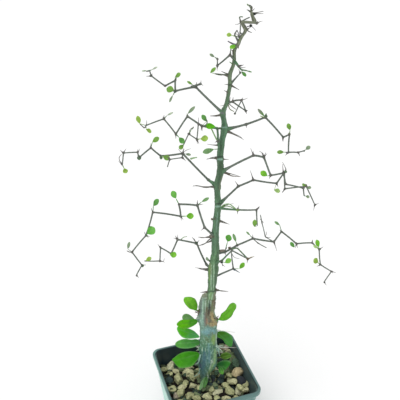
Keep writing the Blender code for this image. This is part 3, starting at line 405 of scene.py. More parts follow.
        shoots=[("thorn", 0.5, 0.14, (285.0, 172.6), (286.2, 169.6), (284.4, 165.6), (282.4, 162.0)),
                ("thorn", 0.45, 0.14, (263.9, 157.2), (263.4, 153.6), (259.4, 151.0))],
        knots=[("moss", 285.6, 171.6, 1.2)]),
    "branch_right_6": dict(
        lean=-0.32, root=(1.0, 9),
        joints=[(218.2, 205.0), (238.4, 186.2), (253.3, 180.0), (276.6, 183.4), (284.4, 172.4),
                (284.8, 188.8), (306.2, 186.3), (314.8, 204.8)],
        leaves=[(3, 277.4, 190.6, 6.72, 4.14, "light", 72), (6, 303.8, 184.6, 4.6, 2.88, "olive", 40, 1),
                (6, 309.0, 187.6, 4.18, 2.88, "grey", 30, 1)],
        thorns=[(1, 234.8, 181.0), (2, 250.0, 170.2), (5, 282.0, 192.4), (7, 318.8, 203.0),
                (7, 313.5, 210.5)],
        knots=[("olive", 305.6, 185.6, 1.3)]),
    "branch_right_7": dict(
        lean=0.30, root=(0.3, 26),
        joints=[(218.2, 208.0), (237.7, 209.9), (256.5, 209.9), (257.4, 225.7)],
        leaves=[(3, 254.8, 223.3, 6.16, 4.08, "olive", -50)],
        thorns=[(0, 233.6, 203.6), (1, 239.0, 205.4), (1, 237.6, 214.2), (2, 258.8, 206.6)],
        shoots=[("fern", 0.5, 0.4, (220.6, 207.6), (224.0, 204.4), (229.0, 203.6), (233.0, 206.4),
                 (236.6, 209.6)),
                ("fern", 0.45, 0.4, (221.0, 208.0), (226.0, 205.8), (231.0, 206.8), (236.4, 209.8)),
                ("thorn", 0.5, 0.3, (256.6, 210.0), (257.8, 208.6), (259.2, 208.0))],
        knots=[("spring", 237.6, 209.8, 1.3)]),
    "branch_right_8": dict(
        lean=-0.22, root=(0.8, 3),
        joints=[(215.4, 253.0), (224.8, 252.2), (237.2, 245.2), (252.9, 238.5), (273.9, 241.8),
                (281.5, 231.5), (296.5, 243.7), (312.2, 242.8), (319.2, 249.4), (320.4, 264.6),
                (331.4, 271.4), (324.2, 281.8)],
        leaves=[(1, 228.4, 238.4, 7.0, 6.2, "emerald"), (2, 234.6, 238.0, 8.4, 2.808, "sage"),
                (3, 248.4, 233.6, 6.2, 1.8, "sage"), (5, 277.4, 223.4, 7.4, 2.592, "sage", 24),
                (6, 292.4, 244.8, 5.88, 3.5, "deep", -65, 3), (8, 317.8, 243.6, 7.82, 4.41, "bright"),
                (9, 316.1, 261.0, 6.72, 5.75, "yellow")],
        thorns=[(3, 252.6, 234.6), (4, 276.9, 251.0), (6, 297.6, 248.0), (8, 323.4, 246.6),
                (10, 336.0, 272.6), (11, 326.4, 285.4)],
        twigs=[(4, (265.3, 236.9), (261.9, 222.7), (260.4, 214.9)), (3, (258.0, 243.2), (266.6, 247.8))],
        more_leaves=[(319.2, 249.4, 315.6, 246.8, 5.4, 2.6, "light")],
        shoots=[("stub", 1.35, 1.0, (216.4, 252.4), (220.6, 250.8), (224.6, 250.4)),
                ("fern", 0.75, 0.7, (228.6, 248.4), (233.4, 248.2), (237.0, 245.2)),
                ("thorn", 0.4, 0.2, (260.4, 219.0), (263.4, 222.6)),
                ("thorn", 0.6, 0.3, (312.2, 242.8), (312.4, 240.0)),
                ("thorn", 0.35, 0.15, (264.8, 236.0), (266.6, 234.6), (266.2, 231.6)),
                ("thorn", 0.35, 0.15, (264.8, 236.6), (267.6, 237.6), (270.6, 237.4)),
                ("thorn", 0.4, 0.15, (224.8, 250.4), (227.0, 247.8), (225.6, 247.2))],
        knots=[("umber", 229.2, 247.8, 1.1), ("moss", 320.0, 249.0, 1.0)]),
    "branch_right_9": dict(
        lean=0.55, root=(0.9, 26),
        joints=[(214.2, 262.0), (221.3, 261.2), (232.0, 250.4), (247.8, 258.8)],
        leaves=[(1, 227.9, 261.0, 6.6, 4.68, "fresh", 30)],
        thorns=[(1, 222.8, 266.4), (3, 254.4, 256.2), (3, 247.0, 263.4)],
        shoots=[("thorn", 0.5, 0.15, (221.3, 261.6), (222.6, 265.0), (225.0, 266.6)),
                ("cork", 0.4, 0.12, (247.8, 258.8), (250.6, 257.2), (254.0, 256.4)),
                ("thorn", 0.35, 0.14, (231.0, 252.0), (234.0, 257.6), (239.6, 258.8)),
                ("moss", 0.65, 0.6, (232.0, 249.2), (236.9, 247.6), (241.0, 251.8), (247.2, 258.2))],
        knots=[("brown", 247.6, 258.8, 1.1), ("seam", 221.6, 262.0, 1.3)]),
    "branch_right_10": dict(
        lean=-0.8, root=(0.2, 6),
        joints=[(212.6, 278.0), (233.3, 268.7), (231.3, 250.8)],
        leaves=[(1, 242.0, 265.8, 7.26, 4.5, "bright", 32)], thorns=[(1, 239.8, 272.8)],
        shoots=[("slate", 0.6, 0.2, (233.3, 269.0), (236.4, 270.8), (240.0, 272.8))],
        knots=[("slate", 234.4, 269.6, 1.1)])}

# Rootstock leaves: height in the view where the stalk leaves the stem's middle; x, y of the blade's start
# and tip; mm toward the viewer at both; colours at the stalk, at the tip, and at the edge and rib; then the
# blade's outline in the view, from the stalk round the tip and back, or its width in mm
# The leaves' colours are partly their own tone and partly painted light and shade: leaves that lie in shade
# are painted darker
STOCK_LEAVES = [
    (308.6, (195.6, 310.0, 184.2, 297.8), (3, 5), ((92, 160, 38), (120, 194, 50), (100, 150, 64)),
     [(196.2, 310.4), (193.0, 309.8), (190.0, 308.9), (187.6, 307.0), (185.2, 304.0), (183.6, 300.8),
      (184.3, 297.6), (187.9, 296.8), (191.7, 297.1), (195.0, 298.8), (197.0, 302.2), (197.7, 306.6)]),
    (319.0, (194.0, 318.6, 181.8, 314.4), (-4, -7), ((92, 138, 84), (100, 148, 84), (84, 116, 74)),
     [(194.6, 319.6), (190.0, 321.2), (185.0, 320.6), (182.2, 318.4), (183.2, 314.8), (186.6, 313.7),
      (190.5, 315.3)]),
    (322.4, (197.4, 321.6, 176.2, 324.6), (4, 10), ((62, 134, 30), (88, 168, 12), (100, 142, 58)),
     [(197.6, 321.6), (196.4, 323.8), (192.9, 326.2), (188.3, 328.2), (183.0, 328.8), (178.8, 327.0),
      (176.6, 324.2), (179.0, 321.2), (182.6, 319.5), (188.0, 319.6), (193.0, 318.9), (196.2, 319.4)]),
    (336.4, (199.2, 336.0, 177.0, 328.6), (3, 2), ((76, 152, 82), (80, 172, 30), (116, 172, 108)),
     [(199.6, 337.0), (196.0, 338.2), (190.0, 338.8), (185.0, 338.4), (181.4, 336.6), (178.4, 332.8),
      (176.9, 328.6), (178.6, 326.2), (183.6, 327.0), (188.4, 328.4), (192.9, 330.2), (196.4, 333.0)]),
    (342.4, (198.6, 341.8, 175.2, 343.6), (-2, -8), ((66, 132, 60), (80, 148, 62), (116, 172, 108)),
     [(199.8, 342.6), (197.4, 345.6), (192.9, 347.6), (186.0, 348.5), (180.2, 348.1), (176.6, 346.6),
      (175.2, 344.0), (176.9, 341.4), (181.0, 339.6), (185.6, 338.8), (191.0, 339.5), (197.0, 339.2)]),
    (354.6, (198.6, 353.8, 172.4, 361.0), (4, 12), ((46, 122, 8), (64, 142, 24), (88, 142, 66)),
     [(199.4, 354.6), (198.2, 358.6), (195.6, 362.2), (192.4, 365.8), (186.8, 367.6), (180.2, 367.9),
      (176.9, 365.9), (174.3, 362.6), (172.1, 359.6), (174.8, 357.2), (177.4, 355.0), (181.2, 352.9),
      (186.6, 351.5), (192.9, 351.4), (197.4, 352.2)]),
    (321.6, (219.0, 319.8, 236.4, 304.8), (2, 0), ((90, 164, 38), (102, 170, 50), (74, 128, 40)),
     [(218.4, 319.6), (220.2, 316.4), (221.2, 313.8), (224.0, 311.6), (226.4, 309.2), (228.4, 305.9),
      (230.4, 303.6), (233.6, 302.7), (236.2, 304.8), (236.0, 308.4), (233.8, 311.8), (232.4, 315.2),
      (230.0, 317.9), (226.4, 320.2), (222.4, 320.8)]),
    (332.6, (217.6, 332.6, 232.2, 347.0), (-3, -8), ((54, 112, 12), (66, 138, 58), (86, 146, 84)),
     [(216.4, 333.4), (218.6, 331.4), (223.4, 331.1), (227.4, 332.4), (230.6, 334.6), (232.6, 337.4),
      (232.8, 341.8), (231.6, 346.4), (228.4, 346.2), (225.2, 343.6), (223.2, 340.2), (220.8, 338.6),
      (217.4, 337.2)]),
    (358.6, (219.0, 358.0, 230.0, 355.4), (-3, -6), ((62, 96, 22), (72, 116, 32), (136, 174, 92)),
     [(220.4, 356.4), (222.2, 353.6), (226.6, 352.4), (229.8, 353.8), (231.4, 356.4), (227.6, 358.8),
      (223.4, 359.2)]),
    (365.2, (216.6, 365.0, 226.8, 371.8), (0, 2), ((34, 94, 42), (50, 118, 40), (104, 150, 96)),
     [(216.4, 365.4), (218.2, 362.8), (221.4, 361.0), (225.4, 360.2), (229.0, 360.8), (230.6, 362.4),
      (229.6, 365.0), (227.8, 367.2), (226.2, 369.2), (224.8, 370.2), (223.2, 369.4), (221.4, 368.2),
      (218.4, 367.6)]),
    (374.6, (205.4, 377.2, 199.4, 390.4), (6, 17), ((96, 138, 88), (108, 148, 98), (140, 174, 128)), 3.8),
    (312.0, (210.0, 309.6, 212.4, 304.6), (-10, -27), ((72, 142, 26), (92, 160, 34), (92, 140, 58)), 8.6),
    (330.0, (207.0, 325.4, 205.0, 317.6), (-10, -27), ((62, 134, 30), (80, 150, 40), (100, 142, 70)), 9.4),
    (347.0, (209.6, 343.6, 212.6, 337.6), (-10, -28), ((66, 132, 40), (80, 150, 40), (100, 142, 70)), 9.4)]

# Small second leaves beside some of them, by the leaf's number
SECOND_LEAVES = {
    10: ((219.4, 366.4, 222.8, 374.4), (2, 6), ((44, 108, 42), (84, 148, 56), (120, 160, 96)), 5.0),
    11: ((206.8, 376.6, 204.0, 388.0), (8, 15), ((56, 96, 46), (74, 120, 58), (100, 146, 92)), 4.0)}

# Rootstock spines: root x, y, tip x, y, mm toward the viewer at the tip
STOCK_SPINES = [
    (208.0, 346.8, 236.4, 347.6, 3), (208.2, 329.6, 235.0, 332.4, 2), (208.2, 346.8, 195.4, 346.0, 7),
    (207.8, 357.0, 194.6, 364.6, 6), (207.6, 319.6, 217.0, 316.6, 10), (207.0, 310.0, 194.0, 313.0, 6),
    (208.2, 338.0, 209.0, 334.0, 16), (207.6, 360.0, 213.0, 362.0, 15), (208.0, 350.0, 222.6, 352.6, 8),
    (207.8, 319.0, 196.0, 318.0, 5), (208.2, 340.0, 206.0, 332.0, -18), (208.0, 356.0, 214.0, 350.0, -18),
    (207.8, 316.0, 202.0, 308.0, -16), (207.0, 368.0, 197.6, 375.0, 6)]

# Stones that show: x, y in the view, size across in mm, tone
STONES = [
    (170.4, 364.4, 11.0, "pale"), (162.6, 368.6, 6.5, "tan"), (169.5, 372.2, 6.0, "tan"),
    (168.4, 379.4, 8.0, "dark"), (178.6, 377.6, 11.0, "tan"), (188.8, 371.6, 10.5, "sand"),
    (191.6, 376.4, 8.0, "tan"), (173.0, 386.4, 9.5, "tan"), (182.2, 385.4, 7.5, "sand"),
    (192.6, 383.8, 8.5, "sand"), (181.0, 391.4, 9.0, "tan"), (175.8, 395.2, 6.5, "pink"),
    (190.6, 393.2, 9.0, "tan"), (197.6, 392.6, 7.0, "brown"), (206.2, 394.4, 11.0, "sand"),
    (208.4, 386.2, 7.0, "brown"), (239.2, 371.8, 10.5, "brown"), (240.4, 380.0, 10.5, "dark"),
    (235.4, 363.2, 10.0, "green"), (229.9, 378.8, 8.5, "sand"), (220.0, 378.6, 9.0, "dark"),
    (218.4, 389.0, 9.5, "pale"), (226.0, 383.0, 6.5, "tan"), (229.4, 389.4, 9.5, "tan"),
    (238.4, 389.0, 9.5, "pale"), (246.6, 385.6, 8.0, "pale"), (226.4, 397.0, 9.0, "sand"),
    (216.6, 396.6, 8.0, "tan"), (221.8, 347.0, 7.0, "pink"), (229.2, 351.4, 6.5, "sand"),
    (234.2, 354.6, 7.5, "green"), (228.0, 360.0, 8.0, "green"), (227.8, 369.6, 8.0, "brown"),
    (180.4, 366.8, 8.0, "brown")]

# Small stones round the stem's foot
FOOT_STONES = [
    (198.6, 378.6, 5.0, "brown"), (203.2, 381.0, 4.8, "dark"), (209.4, 379.0, 5.4, "brown"),
    (213.4, 376.6, 5.6, "dark"), (195.4, 370.4, 5.0, "brown"), (214.6, 383.6, 6.0, "brown"),
    (199.4, 386.0, 6.0, "tan"), (217.4, 371.4, 5.6, "green"), (212.0, 388.0, 5.4, "tan"),
    (203.6, 388.4, 5.0, "brown"), (219.8, 366.0, 5.2, "dark"), (206.6, 382.8, 4.2, "black"),
    (201.0, 381.6, 4.0, "green"), (210.8, 383.6, 4.4, "dark"), (208.8, 379.8, 4.6, "dark"),
    (212.8, 380.6, 5.0, "black"), (197.0, 374.6, 4.6, "tan"), (199.6, 380.6, 4.2, "brown")]

# Stones that lie higher, most of them against the walls on the right and at the back: x, y, size across
# and rise in mm, tone
HIGH_STONES = [
    (239.8, 370.9, 9.8, 7.0, "orange"), (240.6, 379.2, 8.8, 6.0, "black"), (247.0, 383.2, 7.0, 4.5, "tan"),
    (233.6, 381.0, 7.0, 4.0, "sand"), (229.8, 374.4, 6.2, 4.0, "tan"), (236.4, 362.4, 10.0, 7.0, "green"),
    (245.6, 389.0, 6.5, 4.0, "sand"), (240.0, 386.4, 6.5, 3.5, "tan"), (221.6, 344.0, 7.0, 6.0, "brown"),
    (224.8, 347.6, 8.0, 5.0, "pink"), (228.8, 350.4, 6.5, 4.5, "sand"), (222.6, 349.6, 8.0, 2.5, "brown"),
    (218.4, 346.6, 6.0, 3.0, "dark"), (231.8, 352.8, 7.5, 6.0, "brown"), (236.2, 357.2, 8.0, 6.5, "brown"),
    (232.8, 358.6, 7.0, 4.0, "green"), (220.2, 359.6, 6.0, 1.4, "dark"), (217.8, 354.6, 5.0, 1.4, "dark"),
    (222.4, 375.4, 7.0, 1.4, "dark"), (225.2, 372.0, 5.5, 1.4, "brown")]

# green is the darker, greyer look of stones that lie in shade: painted shade
STONE_TONES = {
    "tan": (172, 174, 130), "sand": (187, 186, 146), "pale": (195, 195, 161), "brown": (104, 117, 86),
    "pink": (172, 162, 142), "green": (82, 106, 86), "dark": (52, 68, 66), "black": (44, 48, 54),
    "orange": (176, 162, 126)}
# Flats knapped on a stone, and on those that are worn round
KNAPPED = 10
GRIT_KNAPPED = 6
WORN_STONES = {"orange": 3, "black": 4}


def linear(colour):
    """A colour of 0 to 255 as linear light, with its alpha."""
    levels = [level / 255 for level in colour[:3]]
    return [x / 12.92 if x <= 0.04045 else ((x + 0.055) / 1.055) ** 2.4 for x in levels] + [1.0]


def mixed(a, b, share):
    """Colour between a and b."""
    return [x + (y - x) * share for x, y in zip(a, b)]


def scaled(colour, factor):
    """Colour made darker or lighter."""
    return [level * factor for level in colour[:3]]


def smooth(value, low, high):
    """0 below low, 1 above high, and an even rise between."""
    share = max(0.0, min(1.0, (value - low) / (high - low)))
    return share * share * (3 - 2 * share)


def hump(distance, width):
    """1 at no distance, falling off softly within a width."""
    return math.exp(-(distance / width) ** 2)


def from_table(rows, at):
    """Value at a place in a table of rows (place, value), read in straight lines between its rows."""
    rows = sorted(rows)
    if at <= rows[0][0]:
        return rows[0][1]
    for (low, a), (high, b) in zip(rows, rows[1:]):
        if at <= high:
            share = (at - low) / (high - low)
            return mixed(a, b, share) if hasattr(a, "__len__") else a + (b - a) * share
    return rows[-1][1]


def grain(place, size, octaves=3):
    """Noise of about -1 to 1 whose features are of the given size."""
    return noise.fractal(place / size, 0.8, 2.0, octaves)


def sight_line(x, y):
    """Direction from the eye through a point of the view."""
    across = VIEW_RIGHT * (x - VIEW_CENTRE) / VIEW_FOCAL
    return across + VIEW_UP * (VIEW_CENTRE - y) / VIEW_FOCAL + VIEW_AHEAD


def seen_at(x, y, toward=0.0):
    """Place on the sight line, in the upright plane that stands toward metres before the pot's axis."""
    line = sight_line(x, y)
    return EYE + line * ((-toward - EYE.dot(VIEW_BACK)) / line.dot(VIEW_BACK))


def on_level(x, y, level):
    """Place on the sight line at a given height."""
    line = sight_line(x, y)
    return EYE + line * ((level - EYE.z) / line.z)


def view_of(place):
    """x, y in the view of a place."""
    offset = place - EYE
    depth = offset.dot(VIEW_AHEAD)
    return (VIEW_CENTRE + VIEW_FOCAL * offset.dot(VIEW_RIGHT) / depth,
            VIEW_CENTRE - VIEW_FOCAL * offset.dot(VIEW_UP) / depth)


def point_on(lines, x, y):
    """The place on any of some lines of points that is seen nearest to x, y."""
    ray = sight_line(x, y).normalized()
    steps = [a.lerp(b, k / 16) for line in lines for a, b in zip(line, line[1:]) for k in range(17)]
    return min(steps, key=lambda place: (place - EYE).cross(ray).length)


def depth_of(place):
    """How far a place is toward the viewer from the upright plane through the pot's axis."""
    return -place.dot(VIEW_BACK)


def frames(line):
    """Directions across, beside and along at each point of a line, carried on without twist."""
    found = []
    across = VIEW_RIGHT
    for number, place in enumerate(line):
        before = line[max(0, number - 1)]
        after = line[min(len(line) - 1, number + 1)]
        along = (after - before).normalized()
        across = across - along * across.dot(along)
        if across.length < 0.1:
            across = along.orthogonal()
        across = across.normalized()
        found.append((across, along.cross(across), along))
    return found


def bent_line(points, radii, corner, step, bows=None):
    """Points and radii along runs whose corners are rounded off within a corner's length."""
    count = len(points) - 1
    runs = [points[k + 1] - points[k] for k in range(count)]
    cuts = [0.0]
    for k in range(1, count):
        cuts.append(min(corner, 0.45 * runs[k - 1].length, 0.45 * runs[k].length))
    cuts.append(0.0)
    line, widths = [], []
    for k, run in enumerate(runs):
        start, end = cuts[k] / run.length, 1 - cuts[k + 1] / run.length
        steps = max(2, round((end - start) * run.length / step))
        bow = bows[k] if bows else Vector((0, 0, 0))
        for n in range(steps):
            share = start + (end - start) * n / steps
            lift = math.sin(math.pi * n / steps)
            line.append(points[k] + run * share + bow * lift)
            widths.append(radii[k] + (radii[k + 1] - radii[k]) * share)
        if k == count - 1:
            line.append(points[-1])
            widths.append(radii[-1])
            break
        near = points[k + 1] - run * (1 - end)
        far = points[k + 1] + runs[k + 1] * cuts[k + 1] / runs[k + 1].length
        turns = max(3, round(2 * cuts[k + 1] / step))
        for n in range(turns):
            t = n / turns
            line.append(near * (1 - t) ** 2 + points[k + 1] * 2 * t * (1 - t) + far * t * t)
            widths.append(radii[k + 1])
    return line, widths


def linked(name, data):
    """New object of the scene."""
    obj = bpy.data.objects.new(name, data)
    bpy.context.scene.collection.objects.link(obj)
    return obj


def linked_mesh(name, bm):
    """New object of the scene with the mesh that was built in bm."""
    mesh = bpy.data.meshes.new(name)
    bm.to_mesh(mesh)
    bm.free()
    return linked(name, mesh)


class Skin:
    """Points and faces of one piece, with the paint of each point."""

    def __init__(self):
        self.points = []
        self.paint = []
        self.faces = []

    def loft(self, rings):
        """Closed skin through rings of (place, colour), drawn together at both ends."""
        count = len(rings[0])
        start = len(self.points)
        for ring in rings:
            self.points += [place for place, _ in ring]
            self.paint += [colour for _, colour in ring]
        for row in range(len(rings) - 1):
            low = start + row * count
            for k in range(count):
                after = (k + 1) % count
                self.faces.append((low + k, low + after, low + count + after, low + count + k))
        for ring, low, step in ((rings[0], start, -1), (rings[-1], start + (len(rings) - 1) * count, 1)):
            middle = len(self.points)
            self.points.append(sum((place for place, _ in ring), Vector()) / count)
            self.paint.append(ring[0][1])
            for k in range(count):
                pair = (low + k, low + (k + 1) % count)
                self.faces.append((*pair[::step], middle))

    def tube(self, line, radii, sides, form, colour):
        """Round skin along a line. form(number, turn, spot) is a factor on the radius."""
        rings = []
        for number, (place, radius, (across, beside, _)) in enumerate(zip(line, radii, frames(line))):
            ring = []
            for k in range(sides):
                turn = math.tau * k / sides
                out = across * math.cos(turn) + beside * math.sin(turn)
                spot = place + out * radius
                spot = place + out * radius * form(number, turn, spot)
                ring.append((spot, colour(number, turn, spot)))
            rings.append(ring)
        self.loft(rings)

    def spike(self, root, tip, radius, foot, sag, colour, tip_colour, sides=8):
        """Thorn with a wide foot, which starts at a foot's length from root and bends by sag."""
        length = (tip - root).length
        line, radii = [], []
        for n in range(SPIKE_STEPS + 1):
            t = n / SPIKE_STEPS
            line.append(root.lerp(tip, t) + sag * math.sin(math.pi * t))
            beyond = max(0.0, (t * length - foot) / max(length - foot, MM))
            radii.append(radius * (0.42 + 0.9 * (1 - beyond) ** 5) * (1 - beyond) ** 0.75 + THORN_POINT)

        def tone(number, turn, spot):
            return mixed(colour, tip_colour, smooth(number / SPIKE_STEPS, 0.45, 1.0))

        self.tube(line, radii, sides, lambda number, turn, spot: 1.0, tone)

    def wrap(self, ball, spots):
        """Skin with a ball's faces, over a place and colour for each of its directions."""
        start = len(self.points)
        self.points += [spot for spot, _ in spots]
        self.paint += [colour for _, colour in spots]
        self.faces += [tuple(start + k for k in face) for face in ball[1]]

    def piece(self, name, finish, slot, *nodes):
        """The scene's piece, which stands for some nodes of the solids."""
        mesh = bpy.data.meshes.new(name)
        mesh.from_pydata(self.points, [], self.faces)
        layer = mesh.color_attributes.new("paint", 'FLOAT_COLOR', 'POINT')
        layer.data.foreach_set("color", [level for colour in self.paint for level in (*colour[:3], 1.0)])
        mesh.shade_smooth()
        mesh.materials.append(finish)
        return placed(linked(name, mesh), slot, *nodes)


def placed(obj, slot, *nodes):
    """The piece, riding with the plant, with the nodes that it stands for. Its finish's slot, slot, is not
    used.
    """
    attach(obj, "root")
    if nodes:
        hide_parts(*nodes)
    return obj


class Finish:
    """Node material: a painted colour that noise varies, with roughness and relief from noise too."""

    def __init__(self, name, specular, colour=None, shade=0.8, **constants):
        self.made = bpy.data.materials.new(name)
        self.made.use_nodes = True
        self.tree = self.made.node_tree
        self.shader = self.tree.nodes["Principled BSDF"]
        self.shader.inputs["Specular IOR Level"].default_value = specular
        for socket, value in constants.items():
            self.shader.inputs[socket.replace("_", " ")].default_value = value
        self.place = self.add("ShaderNodeTexCoord").outputs["Object"]
        self.normal = None
        if colour is None:
            self.colour = self.add("ShaderNodeAttribute", attribute_name="paint").outputs["Color"]
        else:
            source = self.add("ShaderNodeMix", data_type='RGBA')
            source.inputs[6].default_value = linear(colour)
            source.inputs[7].default_value = linear([shade * level for level in colour])
            self.join(self.noise(2 * MM), source.inputs[0])
            self.colour = source.outputs[2]

    def add(self, kind, **settings):
        node = self.tree.nodes.new(kind)
        for setting, value in settings.items():
            setattr(node, setting, value)
        return node

    def join(self, source, target):
        self.tree.links.new(source, target)

    def spread(self, stretch):
        """The place in space, drawn out along each axis."""
        node = self.add("ShaderNodeMapping")
        self.join(self.place, node.inputs["Vector"])
        node.inputs["Scale"].default_value = [1 / part for part in stretch]
        return node.outputs["Vector"]

    def noise(self, size, detail=3, stretch=None, bend=0.0):
        """Noise with features of a size in metres."""
        node = self.add("ShaderNodeTexNoise")
        self.join(self.spread(stretch) if stretch else self.place, node.inputs["Vector"])
        node.inputs["Scale"].default_value = 1 / size
        node.inputs["Detail"].default_value = detail
        node.inputs["Distortion"].default_value = bend
        return node.outputs["Fac"]

    def cells(self, size):
        """Distance to the nearest of points that lie scattered about so far apart."""
        node = self.add("ShaderNodeTexVoronoi")
        self.join(self.place, node.inputs["Vector"])
        node.inputs["Scale"].default_value = 1 / size
        return node.outputs["Distance"]

    def ranged(self, value, low, high, start, end):
        """value from low to high, put on start to end, and held there beyond."""
        node = self.add("ShaderNodeMapRange")
        self.join(value, node.inputs["Value"])
        for socket, number in zip(("From Min", "From Max", "To Min", "To Max"), (low, high, start, end)):
            node.inputs[socket].default_value = number
        return node.outputs["Result"]

    def vary(self, value, darkest, lightest, low=0.3, high=0.7):
        """The colour made darker or lighter where value runs from low to high."""
        node = self.add("ShaderNodeVectorMath", operation='SCALE')
        self.join(self.colour, node.inputs[0])
        self.join(self.ranged(value, low, high, darkest, lightest), node.inputs["Scale"])
        self.colour = node.outputs[0]

    def touch(self, value, low, high, colour, most=1.0):
        """The colour turned to another where value runs from low to high."""
        node = self.add("ShaderNodeMix", data_type='RGBA')
        self.join(self.ranged(value, low, high, 0, most), node.inputs[0])
        self.join(self.colour, node.inputs[6])
        node.inputs[7].default_value = linear(colour)
        self.colour = node.outputs[2]

    def rough(self, value, start, end):
        """Roughness from start to end where value runs over most of its range."""
        self.join(self.ranged(value, 0.3, 0.7, start, end), self.shader.inputs["Roughness"])

    def relief(self, value, depth, strength=1.0):
        """Fine relief, on top of the relief given before."""
        node = self.add("ShaderNodeBump")
        node.inputs["Strength"].default_value = strength
        node.inputs["Distance"].default_value = depth
        self.join(value, node.inputs["Height"])
        if self.normal is not None:
            self.join(self.normal, node.inputs["Normal"])
        self.normal = node.outputs["Normal"]

    def done(self):
        self.join(self.colour, self.shader.inputs["Base Color"])
        if self.normal is not None:
            self.join(self.normal, self.shader.inputs["Normal"])
        return self.made


def pot_finish():
    made = Finish("pot_plastic", 0.5, Sheen_Weight=0.53, Sheen_Roughness=0.35, Sheen_Tint=(0.78, 1, 0.93, 1))
    cloud = made.noise(14 * MM, 4)
    made.vary(cloud, 0.9, 1.08, 0.35, 0.65)
    scuff = made.noise(1.6 * MM, 4, (1, 1, 0.25))
    made.vary(scuff, 1.0, 1.25, 0.6, 0.75)
    made.rough(made.noise(6 * MM, 5), 0.3, 0.48)
    made.relief(made.noise(0.35 * MM, 2), 0.02 * MM, 0.5)
    made.relief(cloud, 0.15 * MM, 0.3)
    return made.done()


def soil_finish():
    made = Finish("potting_soil", 0.2, (62, 50, 40))
    made.touch(made.noise(1.2 * MM, 5), 0.5, 0.7, (96, 82, 62))
    made.touch(made.cells(2.2 * MM), 0.0, 0.25, (28, 24, 20))
    made.rough(made.noise(1 * MM), 0.8, 1.0)
    made.relief(made.noise(0.9 * MM, 5), 0.6 * MM)
    return made.done()


def stone_finish():
    made = Finish("pumice", 0.25)
    speck = made.noise(0.5 * MM, 4)
    made.vary(speck, 0.74, 1.22)
    made.vary(made.noise(2.4 * MM), 0.88, 1.1)
    pores = made.cells(0.75 * MM)
    # Pores darkened where the relief below sinks them: painted shade in the pits
    made.touch(pores, 0.22, 0.08, (70, 62, 44), 0.55)
    made.rough(speck, 0.78, 0.98)
    made.relief(pores, 0.22 * MM, 0.8)
    made.relief(made.noise(0.3 * MM, 4), 0.12 * MM, 0.8)
    return made.done()


def rootstock_finish():
    made = Finish("rootstock_bark", 0.3)
    mottle = made.noise(1.3 * MM, 5, (1, 1, 0.5), 0.6)
    made.vary(mottle, 0.8, 1.18)
    made.vary(made.noise(0.5 * MM, 4, (1, 1, 3.5)), 0.9, 1.1)
    made.rough(mottle, 0.5, 0.75)
    made.relief(made.noise(0.5 * MM, 4, (1, 1, 3)), 0.14 * MM, 0.7)
    made.relief(mottle, 0.25 * MM, 0.5)
    return made.done()


def trunk_finish():
    made = Finish("scion_bark", 0.35)
    streak = made.noise(0.45 * MM, 4, (1, 1, 7))
    made.vary(streak, 0.78, 1.22, 0.32, 0.68)
    made.vary(made.noise(1.6 * MM, 4), 0.88, 1.12)
    made.touch(made.cells(1.5 * MM), 0.2, 0.1, (70, 74, 58), 0.35)
    made.rough(streak, 0.45, 0.66)
    made.relief(streak, 0.12 * MM, 0.7)
    made.relief(made.noise(0.8 * MM, 4), 0.1 * MM, 0.6)
    return made.done()


def branch_finish():
    made = Finish("branch_bark", 0.3)
    speck = made.noise(0.6 * MM, 4)
    made.vary(speck, 0.75, 1.25)
    made.vary(made.noise(3 * MM), 0.85, 1.15)
    made.rough(speck, 0.55, 0.8)
    made.relief(speck, 0.1 * MM, 0.6)
    return made.done()


def leaf_finish(name, size):
    """Waxy blade: fine mottling of about a size, a soft gloss that breaks up, and faint dimples."""
    made = Finish(name, 0.1, Subsurface_Weight=0.1, Subsurface_Scale=1.5 * MM,
                  Subsurface_Radius=(0.5, 1.0, 0.15))
    mottle = made.noise(size, 4)
    made.vary(mottle, 0.9, 1.12)
    made.vary(made.noise(size / 6), 0.94, 1.06)
    made.rough(mottle, 0.36, 0.52)
    made.relief(made.noise(size / 5), 0.06 * MM, 0.5)
    return made.done()


def wall_half(height):
    """Half the pot's outer width below its rim, at a height."""
    return (BASE_WIDTH + (TOP_WIDTH - BASE_WIDTH) * height / POT_HEIGHT) / 2


def wall_corner(height):
    """Radius of the pot's upright corners at a height."""
    return BASE_CORNER + (TOP_CORNER - BASE_CORNER) * height / POT_HEIGHT


def square_ring(half, corner, steps, straight):
    """Points round a square with rounded corners, its sides cut in straight parts."""
    ring = []
    for quarter in range(4):
        start = quarter * math.pi / 2
        middle = Vector((math.cos(start + math.pi / 4), math.sin(start + math.pi / 4))) * math.sqrt(2)
        for step in range(steps + 1):
            angle = start + step / steps * math.pi / 2
            around = Vector((math.cos(angle), math.sin(angle)))
            ring.append(middle * (half - corner) + around * corner)
        turned = Vector((-middle.y, middle.x))
        end = start + math.pi / 2
        last = Vector((math.cos(end), math.sin(end))) * corner
        for part in range(1, straight):
            ring.append((middle.lerp(turned, part / straight)) * (half - corner) + last)
    return ring


def quarter_round(steps):
    """Shares (up, out) round a quarter circle, from its foot to its side."""
    return [(1 - math.cos(a), math.sin(a)) for a in (k / steps * math.pi / 2 for k in range(steps + 1))]


